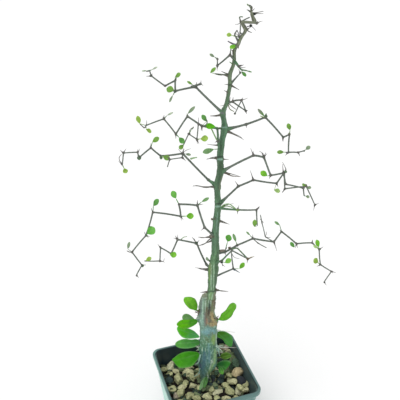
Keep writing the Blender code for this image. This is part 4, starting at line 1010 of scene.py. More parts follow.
def pot_rows():
    """Height, half width and corner radius: up the outside, over the rim and down the inside."""
    under = POT_HEIGHT - RIM_DEPTH
    rim = RIM_WIDTH / 2
    rows = [(EDGE * up, wall_half(EDGE * up) - EDGE * (1 - out), BASE_CORNER - EDGE * (1 - out))
            for up, out in quarter_round(4)]
    for part in range(1, WALL_PARTS + 1):
        height = EDGE + (under - LIP - EDGE) * part / WALL_PARTS
        rows.append((height, wall_half(height), wall_corner(height)))
    rows.append((under - RIM_STEP_DEPTH, wall_half(under) + RIM_STEP, TOP_CORNER))
    rows += [(under + LIP * up, rim - LIP * (1 - out), TOP_CORNER) for up, out in quarter_round(4)]
    rows += [(POT_HEIGHT - EDGE * up, rim - EDGE * (1 - out), TOP_CORNER - EDGE * (1 - out))
             for up, out in reversed(quarter_round(5))]
    inner = POT_HEIGHT - 1.5 * EDGE
    bore = wall_half(inner) - WALL
    rows += [(POT_HEIGHT - 1.5 * EDGE * up, bore + EDGE * (1 - out), TOP_CORNER - WALL)
             for up, out in quarter_round(5)]
    for part in range(1, WALL_PARTS + 1):
        height = inner + (FLOOR + EDGE - inner) * part / WALL_PARTS
        rows.append((height, wall_half(height) - WALL, wall_corner(height) - WALL))
    half, corner = wall_half(FLOOR) - WALL, wall_corner(FLOOR) - WALL
    rows += [(FLOOR + EDGE * up, half - EDGE * (1 - out), corner - EDGE * (1 - out))
             for up, out in reversed(quarter_round(4)[:-1])]
    return rows


def square_reach(place):
    """How far out a place lies, measured in squares whose corners are rounded like the wall's."""
    inner = wall_half(place.z) - wall_corner(place.z)
    x, y = abs(place.x), abs(place.y)
    if min(x, y) > inner:
        return inner + math.hypot(x - inner, y - inner)
    return max(x, y)


# Pot tones: left side is a painted highlight, inside, back wall and right wall are painted shade inside the
# pot, dust is dust on its inner walls
POT_TONES = {name: linear(colour) for name, colour in {
    "outside": (74, 122, 116), "left side": (132, 192, 172), "rim": (88, 114, 112), "inside": (14, 42, 46),
    "dust": (50, 56, 50), "back wall": (44, 46, 62), "right wall": (6, 44, 46)}.items()}


def pot_paint(place):
    """Blue-green plastic: greyer over the rim, a painted highlight on the left side, and painted shade inside
    from the rim's inner edge down, with some dust.
    """
    # Painted highlight: the outside turns paler toward the pot's left side
    outer = mixed(POT_TONES["outside"], POT_TONES["left side"], 0.7 * smooth(-place.x, 30 * MM, 36 * MM))
    # Painted shade of the inside: a dark tone, tinted purple at the back and teal on the right, with real
    # dust; it also covers the inner edge of the rim's top
    painted_shade_and_dust = POT_TONES["inside"]
    reach = square_reach(place)
    # The band over the rim is painted greyer
    rim_band = smooth(place.z, POT_HEIGHT - RIM_DEPTH - RIM_BAND_EDGE, POT_HEIGHT - RIM_BAND_EDGE)
    paint = mixed(outer, POT_TONES["rim"], rim_band * (0.75 + 0.25 * grain(place, 9 * MM)))
    lip = RIM_WIDTH / 2 - reach if place.z > POT_HEIGHT - 2 * EDGE else 0.0
    if reach < wall_half(place.z) - WALL / 2:
        lip = RIM_DEPTH
        dust = smooth(grain(place, 5 * MM), -0.2, 0.6) * smooth(place.z, 62 * MM, 74 * MM)
        painted_shade_and_dust = mixed(painted_shade_and_dust, POT_TONES["dust"], 0.12 * dust)
        back_wall_share = smooth(-place.x, 2 * MM, 30 * MM) * smooth(place.y, 10 * MM, 36 * MM)
        painted_shade_and_dust = mixed(painted_shade_and_dust, POT_TONES["back wall"], 0.28 * back_wall_share)
        clear = smooth(place.x, 33 * MM, 40 * MM) * smooth(grain(place, 9 * MM), -0.6, 0.4)
        painted_shade_and_dust = mixed(painted_shade_and_dust, POT_TONES["right wall"], 0.9 * clear)
    return mixed(paint, painted_shade_and_dust, smooth(lip, 1.9 * MM, 2.7 * MM))


def make_pot(finish):
    bm = bmesh.new()
    rings = []
    for height, half, corner in pot_rows():
        ring = square_ring(half, max(corner, SMALLEST_CORNER), *POT_RING)
        rings.append([bm.verts.new((p.x, p.y, height)) for p in ring])
    count = len(rings[0])
    for low, high in zip(rings, rings[1:]):
        for k in range(count):
            bm.faces.new((low[k], low[(k + 1) % count], high[(k + 1) % count], high[k]))
    bm.faces.new(list(reversed(rings[0])))
    bm.faces.new(rings[-1])
    bmesh.ops.recalc_face_normals(bm, faces=bm.faces)
    pot = linked_mesh("pot_shell", bm)
    for x in (-DRAIN_HOLE_PLACE, DRAIN_HOLE_PLACE):
        for y in (-DRAIN_HOLE_PLACE, DRAIN_HOLE_PLACE):
            cut_hole(pot, x, y)
    mesh = pot.data
    layer = mesh.color_attributes.new("paint", 'FLOAT_COLOR', 'POINT')
    for vert, paint in zip(mesh.vertices, layer.data):
        paint.color = (*pot_paint(vert.co)[:3], 1.0)
    mesh.shade_smooth()
    mesh.set_sharp_from_angle(angle=math.radians(50))
    mesh.materials.clear()
    mesh.materials.append(finish)
    return placed(pot, "pot", "pot")


def cut_hole(pot, x, y):
    """A round hole through the pot's floor."""
    bm = bmesh.new()
    bmesh.ops.create_cone(bm, cap_ends=True, segments=40, radius1=DRAIN_HOLE_RADIUS,
                          radius2=DRAIN_HOLE_RADIUS, depth=4 * FLOOR)
    bmesh.ops.translate(bm, verts=bm.verts, vec=(x, y, 0))
    cutter = linked_mesh("hole", bm)
    cut = pot.modifiers.new("hole", 'BOOLEAN')
    cut.operation = 'DIFFERENCE'
    cut.solver = 'EXACT'
    cut.object = cutter
    bpy.context.view_layer.update()
    graph = bpy.context.evaluated_depsgraph_get()
    pot.data = bpy.data.meshes.new_from_object(pot.evaluated_get(graph))
    pot.modifiers.clear()
    bpy.data.objects.remove(cutter, do_unlink=True)


def round_body(fineness):
    """Directions and faces of a ball."""
    bm = bmesh.new()
    bmesh.ops.create_icosphere(bm, subdivisions=fineness, radius=1)
    bm.verts.ensure_lookup_table()
    ways = [vert.co.normalized() for vert in bm.verts]
    faces = [tuple(vert.index for vert in face.verts) for face in bm.faces]
    bm.free()
    return ways, faces


def stone(skin, ball, place, size, turn, corners, rng, tone, knap):
    """Broken stone: a ball drawn in or out at its corners, cut flat on its sides and rough, with painted
    shade on its lower part and in its pits, and painted light on its lumps.
    """
    flats = []
    for _ in range(knap):
        way = Vector([rng.gauss(0, 1) for _ in range(3)]).normalized()
        flats.append((way, size / 2 * rng.uniform(*FLAT_HEIGHTS), rng.uniform(*FLAT_SHADES)))
    seed = Vector([rng.uniform(0, 9) for _ in range(3)])
    blend = EDGE_SHARPNESS / size
    spots = []
    for way in ball[0]:
        reach = size / 2 * STONE_FULLNESS
        if corners:
            weights = [(max(0.0, way.dot(corner)) ** CORNER_SHARPNESS, factor) for corner, factor in corners]
            reach *= sum(w * f for w, f in weights) / sum(w for w, _ in weights)
        total, tint, light = math.exp(-blend * reach), reach, 1.0
        for flat, height, shade in flats:
            facing = way.dot(flat)
            if facing > 0.2:
                total += math.exp(-blend * height / facing)
                if height / facing < tint:
                    tint, light = height / facing, shade
        reach = -math.log(total) / blend
        lump, pit = grain(way + seed, LUMP_SIZE), grain(way + seed, PIT_SIZE)
        reach += size * (LUMP_RISE * lump + PIT_RISE * pit)
        spot = turn @ Vector(a * b for a, b in zip(way * reach, STONE_SHAPE))
        # Painted shade: darker towards the stone's lower part, darker in the pits and lighter on the lumps of
        # its relief
        shade = 0.3 + 0.7 * smooth(spot.z, -0.3 * size, 0.16 * size)
        spots.append((place + spot, scaled(tone, light * shade * (1.06 + 0.3 * lump + 0.36 * pit))))
    skin.wrap(ball, spots)


def stone_places(rng):
    """Places, sizes and tones of the stones: those that show in the view, then others where there is room."""
    placed_stones = []
    room = wall_half(GRAVEL_LEVEL) - WALL - GAP
    for x, y, across, tone in STONES:
        size = across * MM
        place = on_level(x, y, GRAVEL_LEVEL)
        limit = room - size * STONE_REACH
        place.x = max(-limit, min(limit, place.x))
        place.y = max(-limit, min(limit, place.y))
        placed_stones.append((place, size, tone))
    tries = 0
    while len(placed_stones) < len(STONES) + FILL_STONES and tries < FILL_TRIES:
        tries += 1
        size = rng.uniform(STONE_SMALL, STONE_LARGE)
        limit = room - size * STONE_REACH
        place = Vector((rng.uniform(-limit, limit), rng.uniform(-limit, limit), GRAVEL_LEVEL))
        far_from_stem = place.xy.length > ROOT_RADIUS + size * STONE_REACH
        if far_from_stem and all((place - other).length > (size + width) * STONE_CLOSENESS
                                 for other, width, _ in placed_stones):
            placed_stones.append((place, size, None))
    return placed_stones


def against_walls(spots):
    """Moves a stone's points off the walls on the right and at the back, and off the corner between."""
    for aside in (Vector((1, 0, 0)), Vector((0, 1, 0))):
        over = max(spot.dot(aside) + WALL + GAP - wall_half(spot.z) for spot in spots)
        for spot in spots:
            spot -= aside * max(0.0, over)
    over = max(square_reach(spot) + WALL + GAP - wall_half(spot.z) for spot in spots)
    for spot in spots:
        spot -= Vector((0.71, 0.71, 0)) * max(0.0, over)


def tumbled(rng, tilt=0.0):
    """A turn about the upright axis that follows a tilt of up to so many radians."""
    turn = Matrix.Rotation(rng.uniform(0, math.tau), 3, 'Z')
    return turn @ Matrix.Rotation(rng.uniform(-tilt, tilt), 3, 'X') if tilt else turn


def loose_stone(skin, ball, x, y, across, rise, sunk, name, knap, looks):
    """A stone seen at x, y, its middle a share of its size under a level that rises above the bed's."""
    size = across * MM
    place = on_level(x, y, GRAVEL_LEVEL + rise) - Vector((0, 0, size * sunk))
    stone(skin, ball, place, size, tumbled(looks), None, looks, linear(STONE_TONES[name]), knap)


def make_stones(finish, rng, looks):
    corner_ways, _ = round_body(1)
    ball = round_body(4)
    skin = Skin()
    for place, size, tone in stone_places(rng):
        lowered = place - Vector((0, 0, size * STONE_SUNK + rng.uniform(0, STONE_DROP)))
        corners = [(way, 1 + CORNER_SHARE * (rng.random() - 0.5)) for way in corner_ways]
        turn = tumbled(rng, STONE_TILT)
        name = tone or looks.choice(FILL_TONES)
        knap = WORN_STONES.get(name, KNAPPED)
        stone(skin, ball, lowered, size, turn, corners, looks, linear(STONE_TONES[name]), knap)
    for x, y, across, name in FOOT_STONES:
        loose_stone(skin, ball, x, y, across, FOOT_RISE, FOOT_SUNK, name, KNAPPED, looks)
    for x, y, across, rise, name in HIGH_STONES:
        start = len(skin.points)
        knap = WORN_STONES.get(name, KNAPPED)
        loose_stone(skin, ball, x, y, across, rise * MM, HIGH_SUNK, name, knap, looks)
        against_walls(skin.points[start:])
    skin.piece("gravel_stones", finish, "gravel", "gravel")


def make_grit(finish, looks):
    """Small dark stones on the fines, between the others."""
    ball = round_body(3)
    skin = Skin()
    room = wall_half(GRAVEL_LEVEL) - WALL - 3 * MM
    for _ in range(GRIT_COUNT):
        size = looks.uniform(*GRIT_SIZES) * MM
        place = Vector((looks.uniform(-room, room), looks.uniform(-room, room), 0))
        if place.xy.length < ROOT_RADIUS + size / 2:
            continue
        place.z = SOIL_TOP + GRAVEL_BED + looks.uniform(-0.4, 0.8) * MM
        turn = tumbled(looks, 1)
        tone = scaled(linear(STONE_TONES[looks.choice(GRIT_TONES)]), 0.5)
        stone(skin, ball, place, size, turn, None, looks, tone, GRIT_KNAPPED)
    skin.piece("gravel_grit", finish, "gravel", "gravel")


def make_bed(finish):
    """Dark fines between the stones, their dark tone partly painted shade: a gritty layer that fills the pot
    from wall to wall.
    """
    skin = Skin()
    rings = []
    low = SOIL_TOP + GAP
    top = low + GRAVEL_BED - BED_SUNK
    half = wall_half(top) - WALL - GAP
    # Tone of the fines: dark grit, painted darker still as the shade between the stones
    dark = linear((28, 44, 34))
    for height in (low, top - 0.6 * MM):
        reach = wall_half(height) - WALL - GAP
        rings.append([(Vector((p.x, p.y, height)), dark)
                      for p in square_ring(reach, wall_corner(height) - WALL, *BED_RING)])
    for part in range(1, BED_RINGS):
        share = 1 - part / BED_RINGS
        ring = []
        for p in square_ring(half, wall_corner(top) - WALL, *BED_RING):
            spot = Vector((p.x * share, p.y * share, top))
            spot.z += BED_ROUGH * grain(spot, 2.4 * MM, 4) + FOOT_MOUND * hump(spot.xy.length, FOOT_REACH)
            ring.append((spot, scaled(dark, 1 + 0.6 * grain(spot, 1.1 * MM, 3))))
        rings.append(ring)
    skin.loft(rings)
    skin.piece("gravel_fines", finish, "gravel", "gravel")


# Tones of bark, thorns and shoots, as linear light
TONES = {name: linear(colour) for name, colour in {
    "mist": (146, 182, 166), "frost": (190, 212, 192), "white": (222, 230, 226), "moss": (92, 118, 88),
    "violet": (116, 112, 122),
    "cream": (196, 184, 156), "seam": (30, 40, 38), "bark": (124, 118, 100), "olive": (112, 122, 82),
    "brown": (96, 84, 62), "umber": (88, 76, 62), "rust": (178, 118, 102), "cork": (172, 156, 112),
    "orange": (160, 130, 84), "blue": (112, 156, 162), "lime": (122, 158, 82), "teal": (52, 102, 90),
    "slate": (66, 100, 112), "navy": (48, 58, 92), "steel": (92, 128, 136), "fern": (136, 172, 118),
    "spring": (124, 158, 78), "shade": (54, 84, 60), "thorn": (104, 104, 98), "stub": (132, 124, 112),
    "wood": (98, 106, 96), "crown": (118, 124, 104)}.items()}

# Strokes on the rootstock's front: tone, x, y of both ends in the view, half width, strength
STOCK_STROKES = [
    ("mist", 203.2, 299.0, 202.6, 326.0, 2.0, 0.7), ("violet", 201.2, 298.0, 200.4, 314.0, 1.2, 0.6),
    ("moss", 204.3, 299.0, 204.0, 315.0, 0.7, 0.8), ("frost", 205.7, 297.5, 205.3, 313.0, 0.5, 0.7),
    ("frost", 203.0, 302.0, 202.5, 319.0, 0.45, 0.6), ("moss", 207.4, 297.0, 207.0, 311.0, 0.8, 0.9),
    ("cream", 204.4, 295.8, 207.4, 295.4, 1.1, 0.9), ("bark", 214.6, 294.0, 214.0, 310.0, 1.9, 1.0),
    ("brown", 213.2, 296.0, 212.0, 309.0, 0.6, 0.9), ("umber", 215.0, 298.0, 214.4, 306.0, 0.5, 0.6),
    ("frost", 208.1, 293.6, 209.1, 303.0, 0.4, 0.8), ("frost", 213.3, 293.6, 210.3, 303.4, 0.35, 0.7),
    ("olive", 212.4, 304.0, 211.4, 314.0, 1.2, 0.8), ("umber", 210.7, 305.0, 210.5, 316.0, 0.6, 0.8),
    ("brown", 206.8, 308.0, 206.2, 325.0, 2.2, 0.85), ("violet", 204.8, 313.0, 205.0, 325.0, 0.8, 0.6),
    ("rust", 206.6, 318.4, 206.9, 323.4, 1.0, 0.5), ("cork", 211.8, 313.0, 213.8, 322.6, 2.9, 1.0),
    ("cork", 208.8, 323.6, 215.6, 323.8, 2.2, 0.9), ("orange", 209.0, 326.0, 214.0, 325.6, 0.9, 0.6),
    ("orange", 216.0, 320.6, 216.4, 325.4, 0.9, 0.6), ("brown", 213.2, 314.6, 214.6, 318.6, 0.7, 0.6),
    ("brown", 211.4, 319.0, 212.4, 325.6, 0.7, 0.5), ("umber", 209.4, 312.0, 209.0, 325.4, 0.8, 0.7),
    ("umber", 210.5, 316.0, 210.2, 323.0, 0.6, 0.7), ("umber", 214.0, 318.2, 217.6, 319.6, 0.9, 0.7),
    ("umber", 208.6, 321.6, 214.6, 322.6, 0.6, 0.45), ("mist", 202.6, 331.4, 212.0, 330.6, 2.2, 0.7),
    ("blue", 204.0, 332.0, 213.6, 331.4, 3.6, 0.8), ("seam", 209.5, 303.4, 208.9, 314.0, 0.8, 1.0),
    ("umber", 209.0, 309.0, 208.2, 316.0, 0.7, 0.9), ("olive", 205.0, 337.5, 208.8, 341.5, 1.9, 0.35),
    ("olive", 212.4, 332.0, 212.2, 341.0, 0.8, 0.8), ("lime", 214.2, 335.6, 213.6, 343.6, 2.3, 0.85),
    ("moss", 210.8, 331.5, 210.4, 338.0, 0.8, 0.6), ("frost", 202.4, 347.4, 202.2, 352.0, 0.45, 0.6),
    ("frost", 205.4, 348.4, 205.4, 352.2, 0.4, 0.55), ("blue", 208.6, 344.0, 208.8, 351.0, 1.2, 0.5),
    ("teal", 204.0, 348.0, 204.0, 353.0, 0.9, 0.7), ("teal", 206.8, 348.0, 206.9, 352.6, 0.6, 0.6),
    ("slate", 204.4, 353.0, 203.6, 367.0, 3.0, 0.8), ("navy", 199.6, 363.4, 201.2, 368.0, 1.7, 0.75),
    ("steel", 209.2, 351.0, 209.4, 362.0, 1.4, 0.7), ("fern", 215.0, 349.0, 214.6, 363.0, 1.5, 0.9),
    ("fern", 213.8, 363.0, 208.0, 375.0, 1.5, 0.9), ("frost", 212.2, 359.0, 209.4, 370.0, 0.6, 0.6),
    ("slate", 202.2, 368.6, 203.6, 376.0, 2.4, 0.6), ("frost", 199.2, 355.0, 198.2, 362.0, 0.6, 0.7),
    ("frost", 199.0, 368.0, 200.0, 373.0, 0.5, 0.5), ("frost", 207.4, 372.0, 207.6, 377.0, 0.5, 0.6),
    ("bark", 206.0, 313.0, 206.0, 325.0, 1.4, 0.5), ("frost", 216.6, 334.0, 216.2, 345.0, 0.6, 0.7),
    ("frost", 210.8, 360.4, 213.2, 362.8, 1.0, 0.55), ("mist", 205.2, 375.6, 205.8, 381.0, 1.5, 0.6)]

STOCK_GROUND = [
    (294.0, (146, 142, 116)), (297.5, (130, 140, 122)), (306.0, (118, 144, 124)), (318.0, (120, 148, 132)),
    (330.0, (102, 138, 122)), (342.0, (90, 132, 100)), (354.0, (74, 118, 102)), (366.0, (66, 112, 98)),
    (376.0, (80, 118, 102)), (400.0, (70, 80, 60))]

# Swellings of the rootstock: turn about it in degrees from the view's right, y, and in mm how far it
# stands out and how far it reaches aside, up and down
STOCK_KNOBS = [
    (180, 318.6, 2.6, 3.0, 2.4, 5.0), (2, 320.0, 2.4, 3.2, 3.0, 4.0), (-30, 323.0, 1.2, 3.4, 4.0, 4.0),
    (188, 347.4, 1.0, 3.0, 3.0, 3.6), (-8, 349.0, 1.2, 3.0, 3.0, 3.6), (-60, 338.0, 0.7, 3.0, 4.0, 4.0),
    (-120, 356.0, 0.6, 3.4, 4.0, 5.0), (-40, 362.0, 0.9, 2.4, 8.0, 8.0), (90, 330.0, 1.0, 4.0, 5.0, 6.0),
    (60, 352.0, 1.0, 3.4, 4.0, 4.0), (130, 345.0, 0.8, 3.4, 4.0, 4.0)]

# Clusters of short spines: turn in degrees, y, how many, length in mm, tone
AREOLES = [
    (186, 347.4, 11, 6.2, "frost"), (-6, 348.4, 14, 8.0, "mist"), (182, 359.0, 6, 3.2, "mist"),
    (176, 311.6, 8, 4.6, "umber"), (0, 319.2, 8, 4.4, "umber"), (90, 334.0, 7, 4.2, "cream"),
    (64, 352.0, 8, 4.4, "white"), (118, 318.0, 6, 3.4, "cream"), (140, 358.0, 6, 4.2, "white"),
    (40, 335.0, 5, 3.6, "cream")]
AREOLE_SPINE = 0.42 * MM

# Curved thorns and ridges along the rootstock: tone, thick and thin radius in mm, then points of the view
STOCK_THORNS = [
    ("mist", 1.0, 0.5, (200.6, 354.6), (199.4, 358.6), (198.6, 362.0), (196.6, 364.2)),
    ("mist", 0.55, 0.25, (200.0, 368.4), (199.2, 372.0), (197.6, 374.8), (193.8, 376.6)),
    ("umber", 0.55, 0.3, (199.6, 309.4), (197.4, 312.2), (195.0, 311.6)),
    ("umber", 0.5, 0.3, (199.2, 311.0), (198.4, 314.6), (197.0, 316.0)),
    ("umber", 0.6, 0.25, (214.6, 317.8), (217.0, 317.4), (218.4, 319.6)),
    ("mist", 0.5, 0.3, (216.4, 344.0), (218.6, 348.0), (219.0, 354.0)),
    ("frost", 0.5, 0.25, (207.4, 373.6), (208.2, 377.0), (207.4, 381.0)),
    ("frost", 0.45, 0.2, (215.8, 346.2), (219.6, 348.6), (222.4, 352.0)),
    ("mist", 0.45, 0.2, (216.0, 347.4), (218.6, 351.4), (219.8, 356.4)),
    ("frost", 0.4, 0.15, (216.0, 345.6), (220.0, 346.0), (224.0, 345.0))]

# The open cleft in the view: y of its top and its end, x of its middle and half width at the top
CLEFT_TOP = 294
CLEFT_END = 305
CLEFT_MIDDLE = 210.8
CLEFT_HALF = 2.4
CLEFT_LEAN = 0.13
CLEFT_DEPTH = 5.2 * MM
# Its closed seam below, as y, x, the levels y between which it deepens and fades away, its half width in the
# view and its depth
SEAM = [(304.0, 209.5), (310.0, 209.0), (318.0, 208.2)]
SEAM_DEEPENS = (302, 305)
SEAM_FADES = (316, 320)
SEAM_HALF = 0.7
SEAM_DEPTH = 1.3 * MM
# Patches beside it: middle x, half width, middle y, half height, and the depth of the first
GROOVE = (206.8, 0.9, 316, 7)
CORK = (213.0, 4.2, 320.5, 7.0)
GROOVE_DEPTH = 0.8 * MM
# How far the cleft's two sides stand forward of the round stem, and the levels y between which they fall
# back to it
SHOULDER = 1.8 * MM
SHOULDER_ENDS = (303, 313)
# The levels y between which the graft's deeper, fluted stem gets round, how much deeper it is, as a share,
# how far its flutes stand out, and how far its brim lies under the highest place of its edges
GRAFT_ENDS = (308, 332)
GRAFT_DEPTH = 0.13
GRAFT_FLUTES = 0.22 * MM
CUT_BACK = 2.6 * MM
# Shares of the radius at which the cut top has its rings, and the most that it rises within its brim
BRIM_SHARES = (0.96, 0.88, 0.7, 0.4)
BRIM_RISE = 0.9 * MM
# Levels y of the line that carries the rootstock's thorns, and how far it lies toward the viewer
CARRIER_LEVELS = (300, 380)
CARRIER_DEPTH = 6 * MM


def stock_rows():
    """Middle and radius of the rootstock by height, from its buried root to its cut top."""
    rows = []
    for y, left, right in STOCK_EDGES:
        middle = seen_at((left + right) / 2, y)
        half = (seen_at(right, y) - seen_at(left, y)).length / 2
        rows.append((middle.z, [middle.x, middle.y, half]))
    foot = rows[0]
    root = [foot[1][0], foot[1][1]]
    return [(ROOT_BOTTOM, root + [ROOT_TIP_RADIUS]), (foot[0] - ROOT_NECK, root + [ROOT_RADIUS])] + rows


def stock_spines():
    """Root, tip, and where each spine leaves the stem: its height and its turn about the stem."""
    found = []
    for x0, y0, x1, y1, toward in STOCK_SPINES:
        root, tip = seen_at(x0, y0), seen_at(x1, y1, toward * MM)
        way = (tip - root).normalized()
        out = root + way * KNOB_REACH
        turn = math.atan2(way.dot(VIEW_BACK), way.dot(VIEW_RIGHT))
        found.append((root, tip, out.z, turn))
    return found


def turned(a, b):
    """The angle between two turns, from 0 to a half circle."""
    return abs((a - b + math.pi) % math.tau - math.pi)


def stroke_share(x, y, stroke, ragged):
    """How much a stroke covers a point of the view: most on its line, fading to its rim and its ends."""
    _, x0, y0, x1, y1, half, strength = stroke
    if abs(y - (y0 + y1) / 2) > abs(y1 - y0) / 2 + 3 * half + 1:
        return 0.0
    run = Vector((x1 - x0, y1 - y0))
    spot = Vector((x - x0, y - y0))
    at = max(0.0, min(1.0, spot.dot(run) / run.length_squared))
    distance = max(0.0, (spot - run * at).length + 0.5 * half * ragged)
    taper = 0.6 + 0.45 * math.sin(math.pi * at)
    return strength * (1 + 0.35 * ragged) * hump(distance, 1.05 * half * taper)


def stroked(paint, x, y, strokes, spot, front):
    """Paint with the strokes laid over it on the side that faces the view, broken up into fibres."""
    fibres = Vector((spot.x, spot.y, spot.z / 3))
    ragged = 0.6 * grain(fibres, 0.9 * MM, 3) + 0.6 * grain(spot, 2.2 * MM, 2)
    for stroke in strokes:
        share = stroke_share(x, y, stroke, ragged) * smooth(front, 0.0, 0.22)
        if share > 0.01:
            paint = mixed(paint, TONES[stroke[0]], min(1.0, share))
    return paint


def cleft(x, y):
    """1 inside the open cleft of the graft, which narrows downwards."""
    half = CLEFT_HALF * (CLEFT_END - y) / (CLEFT_END - CLEFT_TOP)
    aside = abs(x - CLEFT_MIDDLE + CLEFT_LEAN * (y - CLEFT_TOP))
    return smooth(half - aside, -0.3, 0.4) if y < CLEFT_END else 0.0


def patch(x, y, middle, wide, level, high):
    """1 in the middle of an oval patch of the view, falling off softly beyond its half width and height."""
    return hump(x - middle, wide) * hump(y - level, high)


def stock_relief(spot, turn, radius, spines, front, graft):
    """How far the bark stands out from an even stem."""
    x, y = view_of(spot)
    out = 0.3 * MM * math.cos(3 * turn + spot.z * 60) + 0.25 * MM * math.cos(7 * turn - spot.z * 90)
    out += 0.5 * MM * grain(spot, 5 * MM, 4) + 0.2 * MM * grain(spot, 1.3 * MM, 3)
    out += graft * GRAFT_FLUTES * math.cos(turn * 23 + 4 * grain(spot, 9 * MM, 2))
    for _, _, height, way in spines:
        lift = spot.z - height
        aside = radius * turned(turn, way)
        out += 1.2 * MM * hump(aside, 1.8 * MM) * hump(lift, 1.6 * MM if lift > 0 else 3.0 * MM)
    for degrees, level, rise, aside, up, down in STOCK_KNOBS:
        lift = spot.z - seen_at(STOCK_MIDDLE, level).z
        reach = radius * turned(turn, math.radians(degrees))
        out += rise * MM * hump(reach, aside * MM) * hump(lift, (up if lift > 0 else down) * MM)
    if front > 0.1:
        out -= CLEFT_DEPTH * cleft(x, y) * smooth(front, 0.1, 0.4)
        deep = smooth(y, *SEAM_DEEPENS) * (1 - smooth(y, *SEAM_FADES))
        out -= SEAM_DEPTH * hump(x - from_table(SEAM, y), SEAM_HALF) * deep
        out -= GROOVE_DEPTH * patch(x, y, *GROOVE)
        out += patch(x, y, *CORK) * (0.5 * MM + 1.1 * MM * grain(spot, 1.7 * MM, 3))
    return out


def stock_paint(spot, front):
    """Grey-green bark with blotches and fibres, and strokes where the view shows them."""
    x, y = view_of(spot)
    paint = linear(from_table(STOCK_GROUND, y + 4 * grain(spot, 6 * MM, 2)))
    blotch = grain(spot, 2.6 * MM, 3)
    fibre = grain(Vector((spot.x, spot.y, spot.z / 5)), 0.9 * MM, 3)
    for tone, value, low, most in (("mist", blotch, 0.15, 0.5), ("moss", -blotch, 0.15, 0.6),
                                   ("frost", fibre, 0.2, 0.25), ("teal", -fibre, 0.2, 0.3)):
        paint = mixed(paint, TONES[tone], most * smooth(value, low, 0.6))
    paint = stroked(paint, x, y, STOCK_STROKES, spot, front)
    if front < 0.1:
        paint = mixed(paint, TONES["fern"], 0.5 * smooth(grain(spot, 5 * MM, 3), 0.0, 0.5))
    return scaled(paint, 1 + 0.15 * grain(spot, 1.1 * MM, 3) + 0.1 * fibre)


def stock_at(rows, level):
    """Middle and radius of the rootstock where its middle is seen at a level of the view."""
    height = seen_at(STOCK_MIDDLE, level).z
    x, y, radius = from_table(rows, height)
    return Vector((x, y, height)), radius


def areole(skin, place, out, count, length, tone, rng):
    """Short spines that spread from a cushion on the bark."""
    for _ in range(count):
        aside = Vector([rng.uniform(-1, 1) for _ in range(3)])
        way = (out + aside * 0.95).normalized()
        tip = place + way * length * rng.uniform(0.55, 1.0)
        sag = Vector((0, 0, rng.uniform(-0.3, 0.3) * MM))
        skin.spike(place - out * MM, tip, AREOLE_SPINE, 1.0 * MM, sag, TONES[tone], TONES["bark"], 6)


def make_rootstock(finish):
    skin = Skin()
    rows = stock_rows()
    spines = stock_spines()
    top, start = rows[-1][0], rows[1][0]
    heights = [ROOT_BOTTOM + ROOT_STEP * k for k in range(int((start - ROOT_BOTTOM) / ROOT_STEP))]
    fine = int((top - start) / STOCK_STEP)
    brim = top - CUT_BACK
    heights += [start + (brim - start) * k / fine for k in range(fine + 1)]
    rings = []
    for height in heights:
        x, y, radius = from_table(rows, height)
        rings.append(stock_ring(Vector((x, y, height)), radius, spines, 1.0))
    for share in BRIM_SHARES:
        rise = BRIM_RISE * (1 - share) ** 0.6
        rings.append(stock_ring(Vector((x, y, brim + rise)), radius, spines, share))
    skin.loft(rings)
    pale, tip_tone = linear((204, 214, 204)), linear((196, 194, 186))
    for number, (root, tip, height, turn) in enumerate(spines):
        sag = Vector((0, 0, 0.5 * MM)) * math.sin(number * 2.4)
        foot_tone = TONES["moss"] if STOCK_SPINES[number][4] > 5 else pale
        skin.spike(root, tip, SPINE_RADIUS, KNOB_REACH, sag, foot_tone, tip_tone)
    carrier = [seen_at(STOCK_MIDDLE, y, CARRIER_DEPTH) for y in CARRIER_LEVELS]
    for tone, thick, thin, *points in STOCK_THORNS:
        growth(skin, [carrier], tone, thick, thin, points)
    rng = random.Random(AREOLE_SEED)
    for degrees, level, count, length, tone in AREOLES:
        middle, radius = stock_at(rows, level)
        turn = math.radians(degrees)
        out = VIEW_RIGHT * math.cos(turn) + VIEW_BACK * math.sin(turn)
        areole(skin, middle + out * (radius + 0.4 * MM), out, count, length * MM, tone, rng)
    return skin.piece("rootstock_bark", finish, "rootstock", "rootstock_stem")


def stock_ring(middle, radius, spines, share):
    """Ring of the rootstock's skin, deeper than broad towards the graft."""
    ring = []
    graft = 1 - smooth(view_of(middle)[1], *GRAFT_ENDS)
    depth = 1 + GRAFT_DEPTH * graft
    for k in range(STOCK_SIDES):
        turn = math.tau * k / STOCK_SIDES
        out = VIEW_RIGHT * math.cos(turn) + VIEW_BACK * math.sin(turn)
        front = -math.sin(turn)
        reach = radius / math.hypot(math.cos(turn), math.sin(turn) / depth)
        spot = middle + out * reach
        relief = stock_relief(spot, turn, radius, spines, front, graft)
        x, y = view_of(spot)
        shoulder = SHOULDER * smooth(front, 0.0, 0.5) * (1 - smooth(y, *SHOULDER_ENDS)) * (1 - cleft(x, y))
        spot = middle + out * (reach + relief) * share - VIEW_BACK * shoulder
        ring.append((spot, stock_paint(spot, front)))
    return ring


def curved(points):
    """A closed smooth curve through points of the view."""
    curve = []
    count = len(points)
    for k in range(count):
        a, b, c, d = (Vector(points[(k + n) % count]) for n in (-1, 0, 1, 2))
        for n in range(CURVE_STEPS):
            t = n / CURVE_STEPS
            curve.append((b * 2 + (c - a) * t + (a * 2 - b * 5 + c * 4 - d) * t * t
                          + (b * 3 - a - c * 3 + d) * t ** 3) / 2)
    return curve


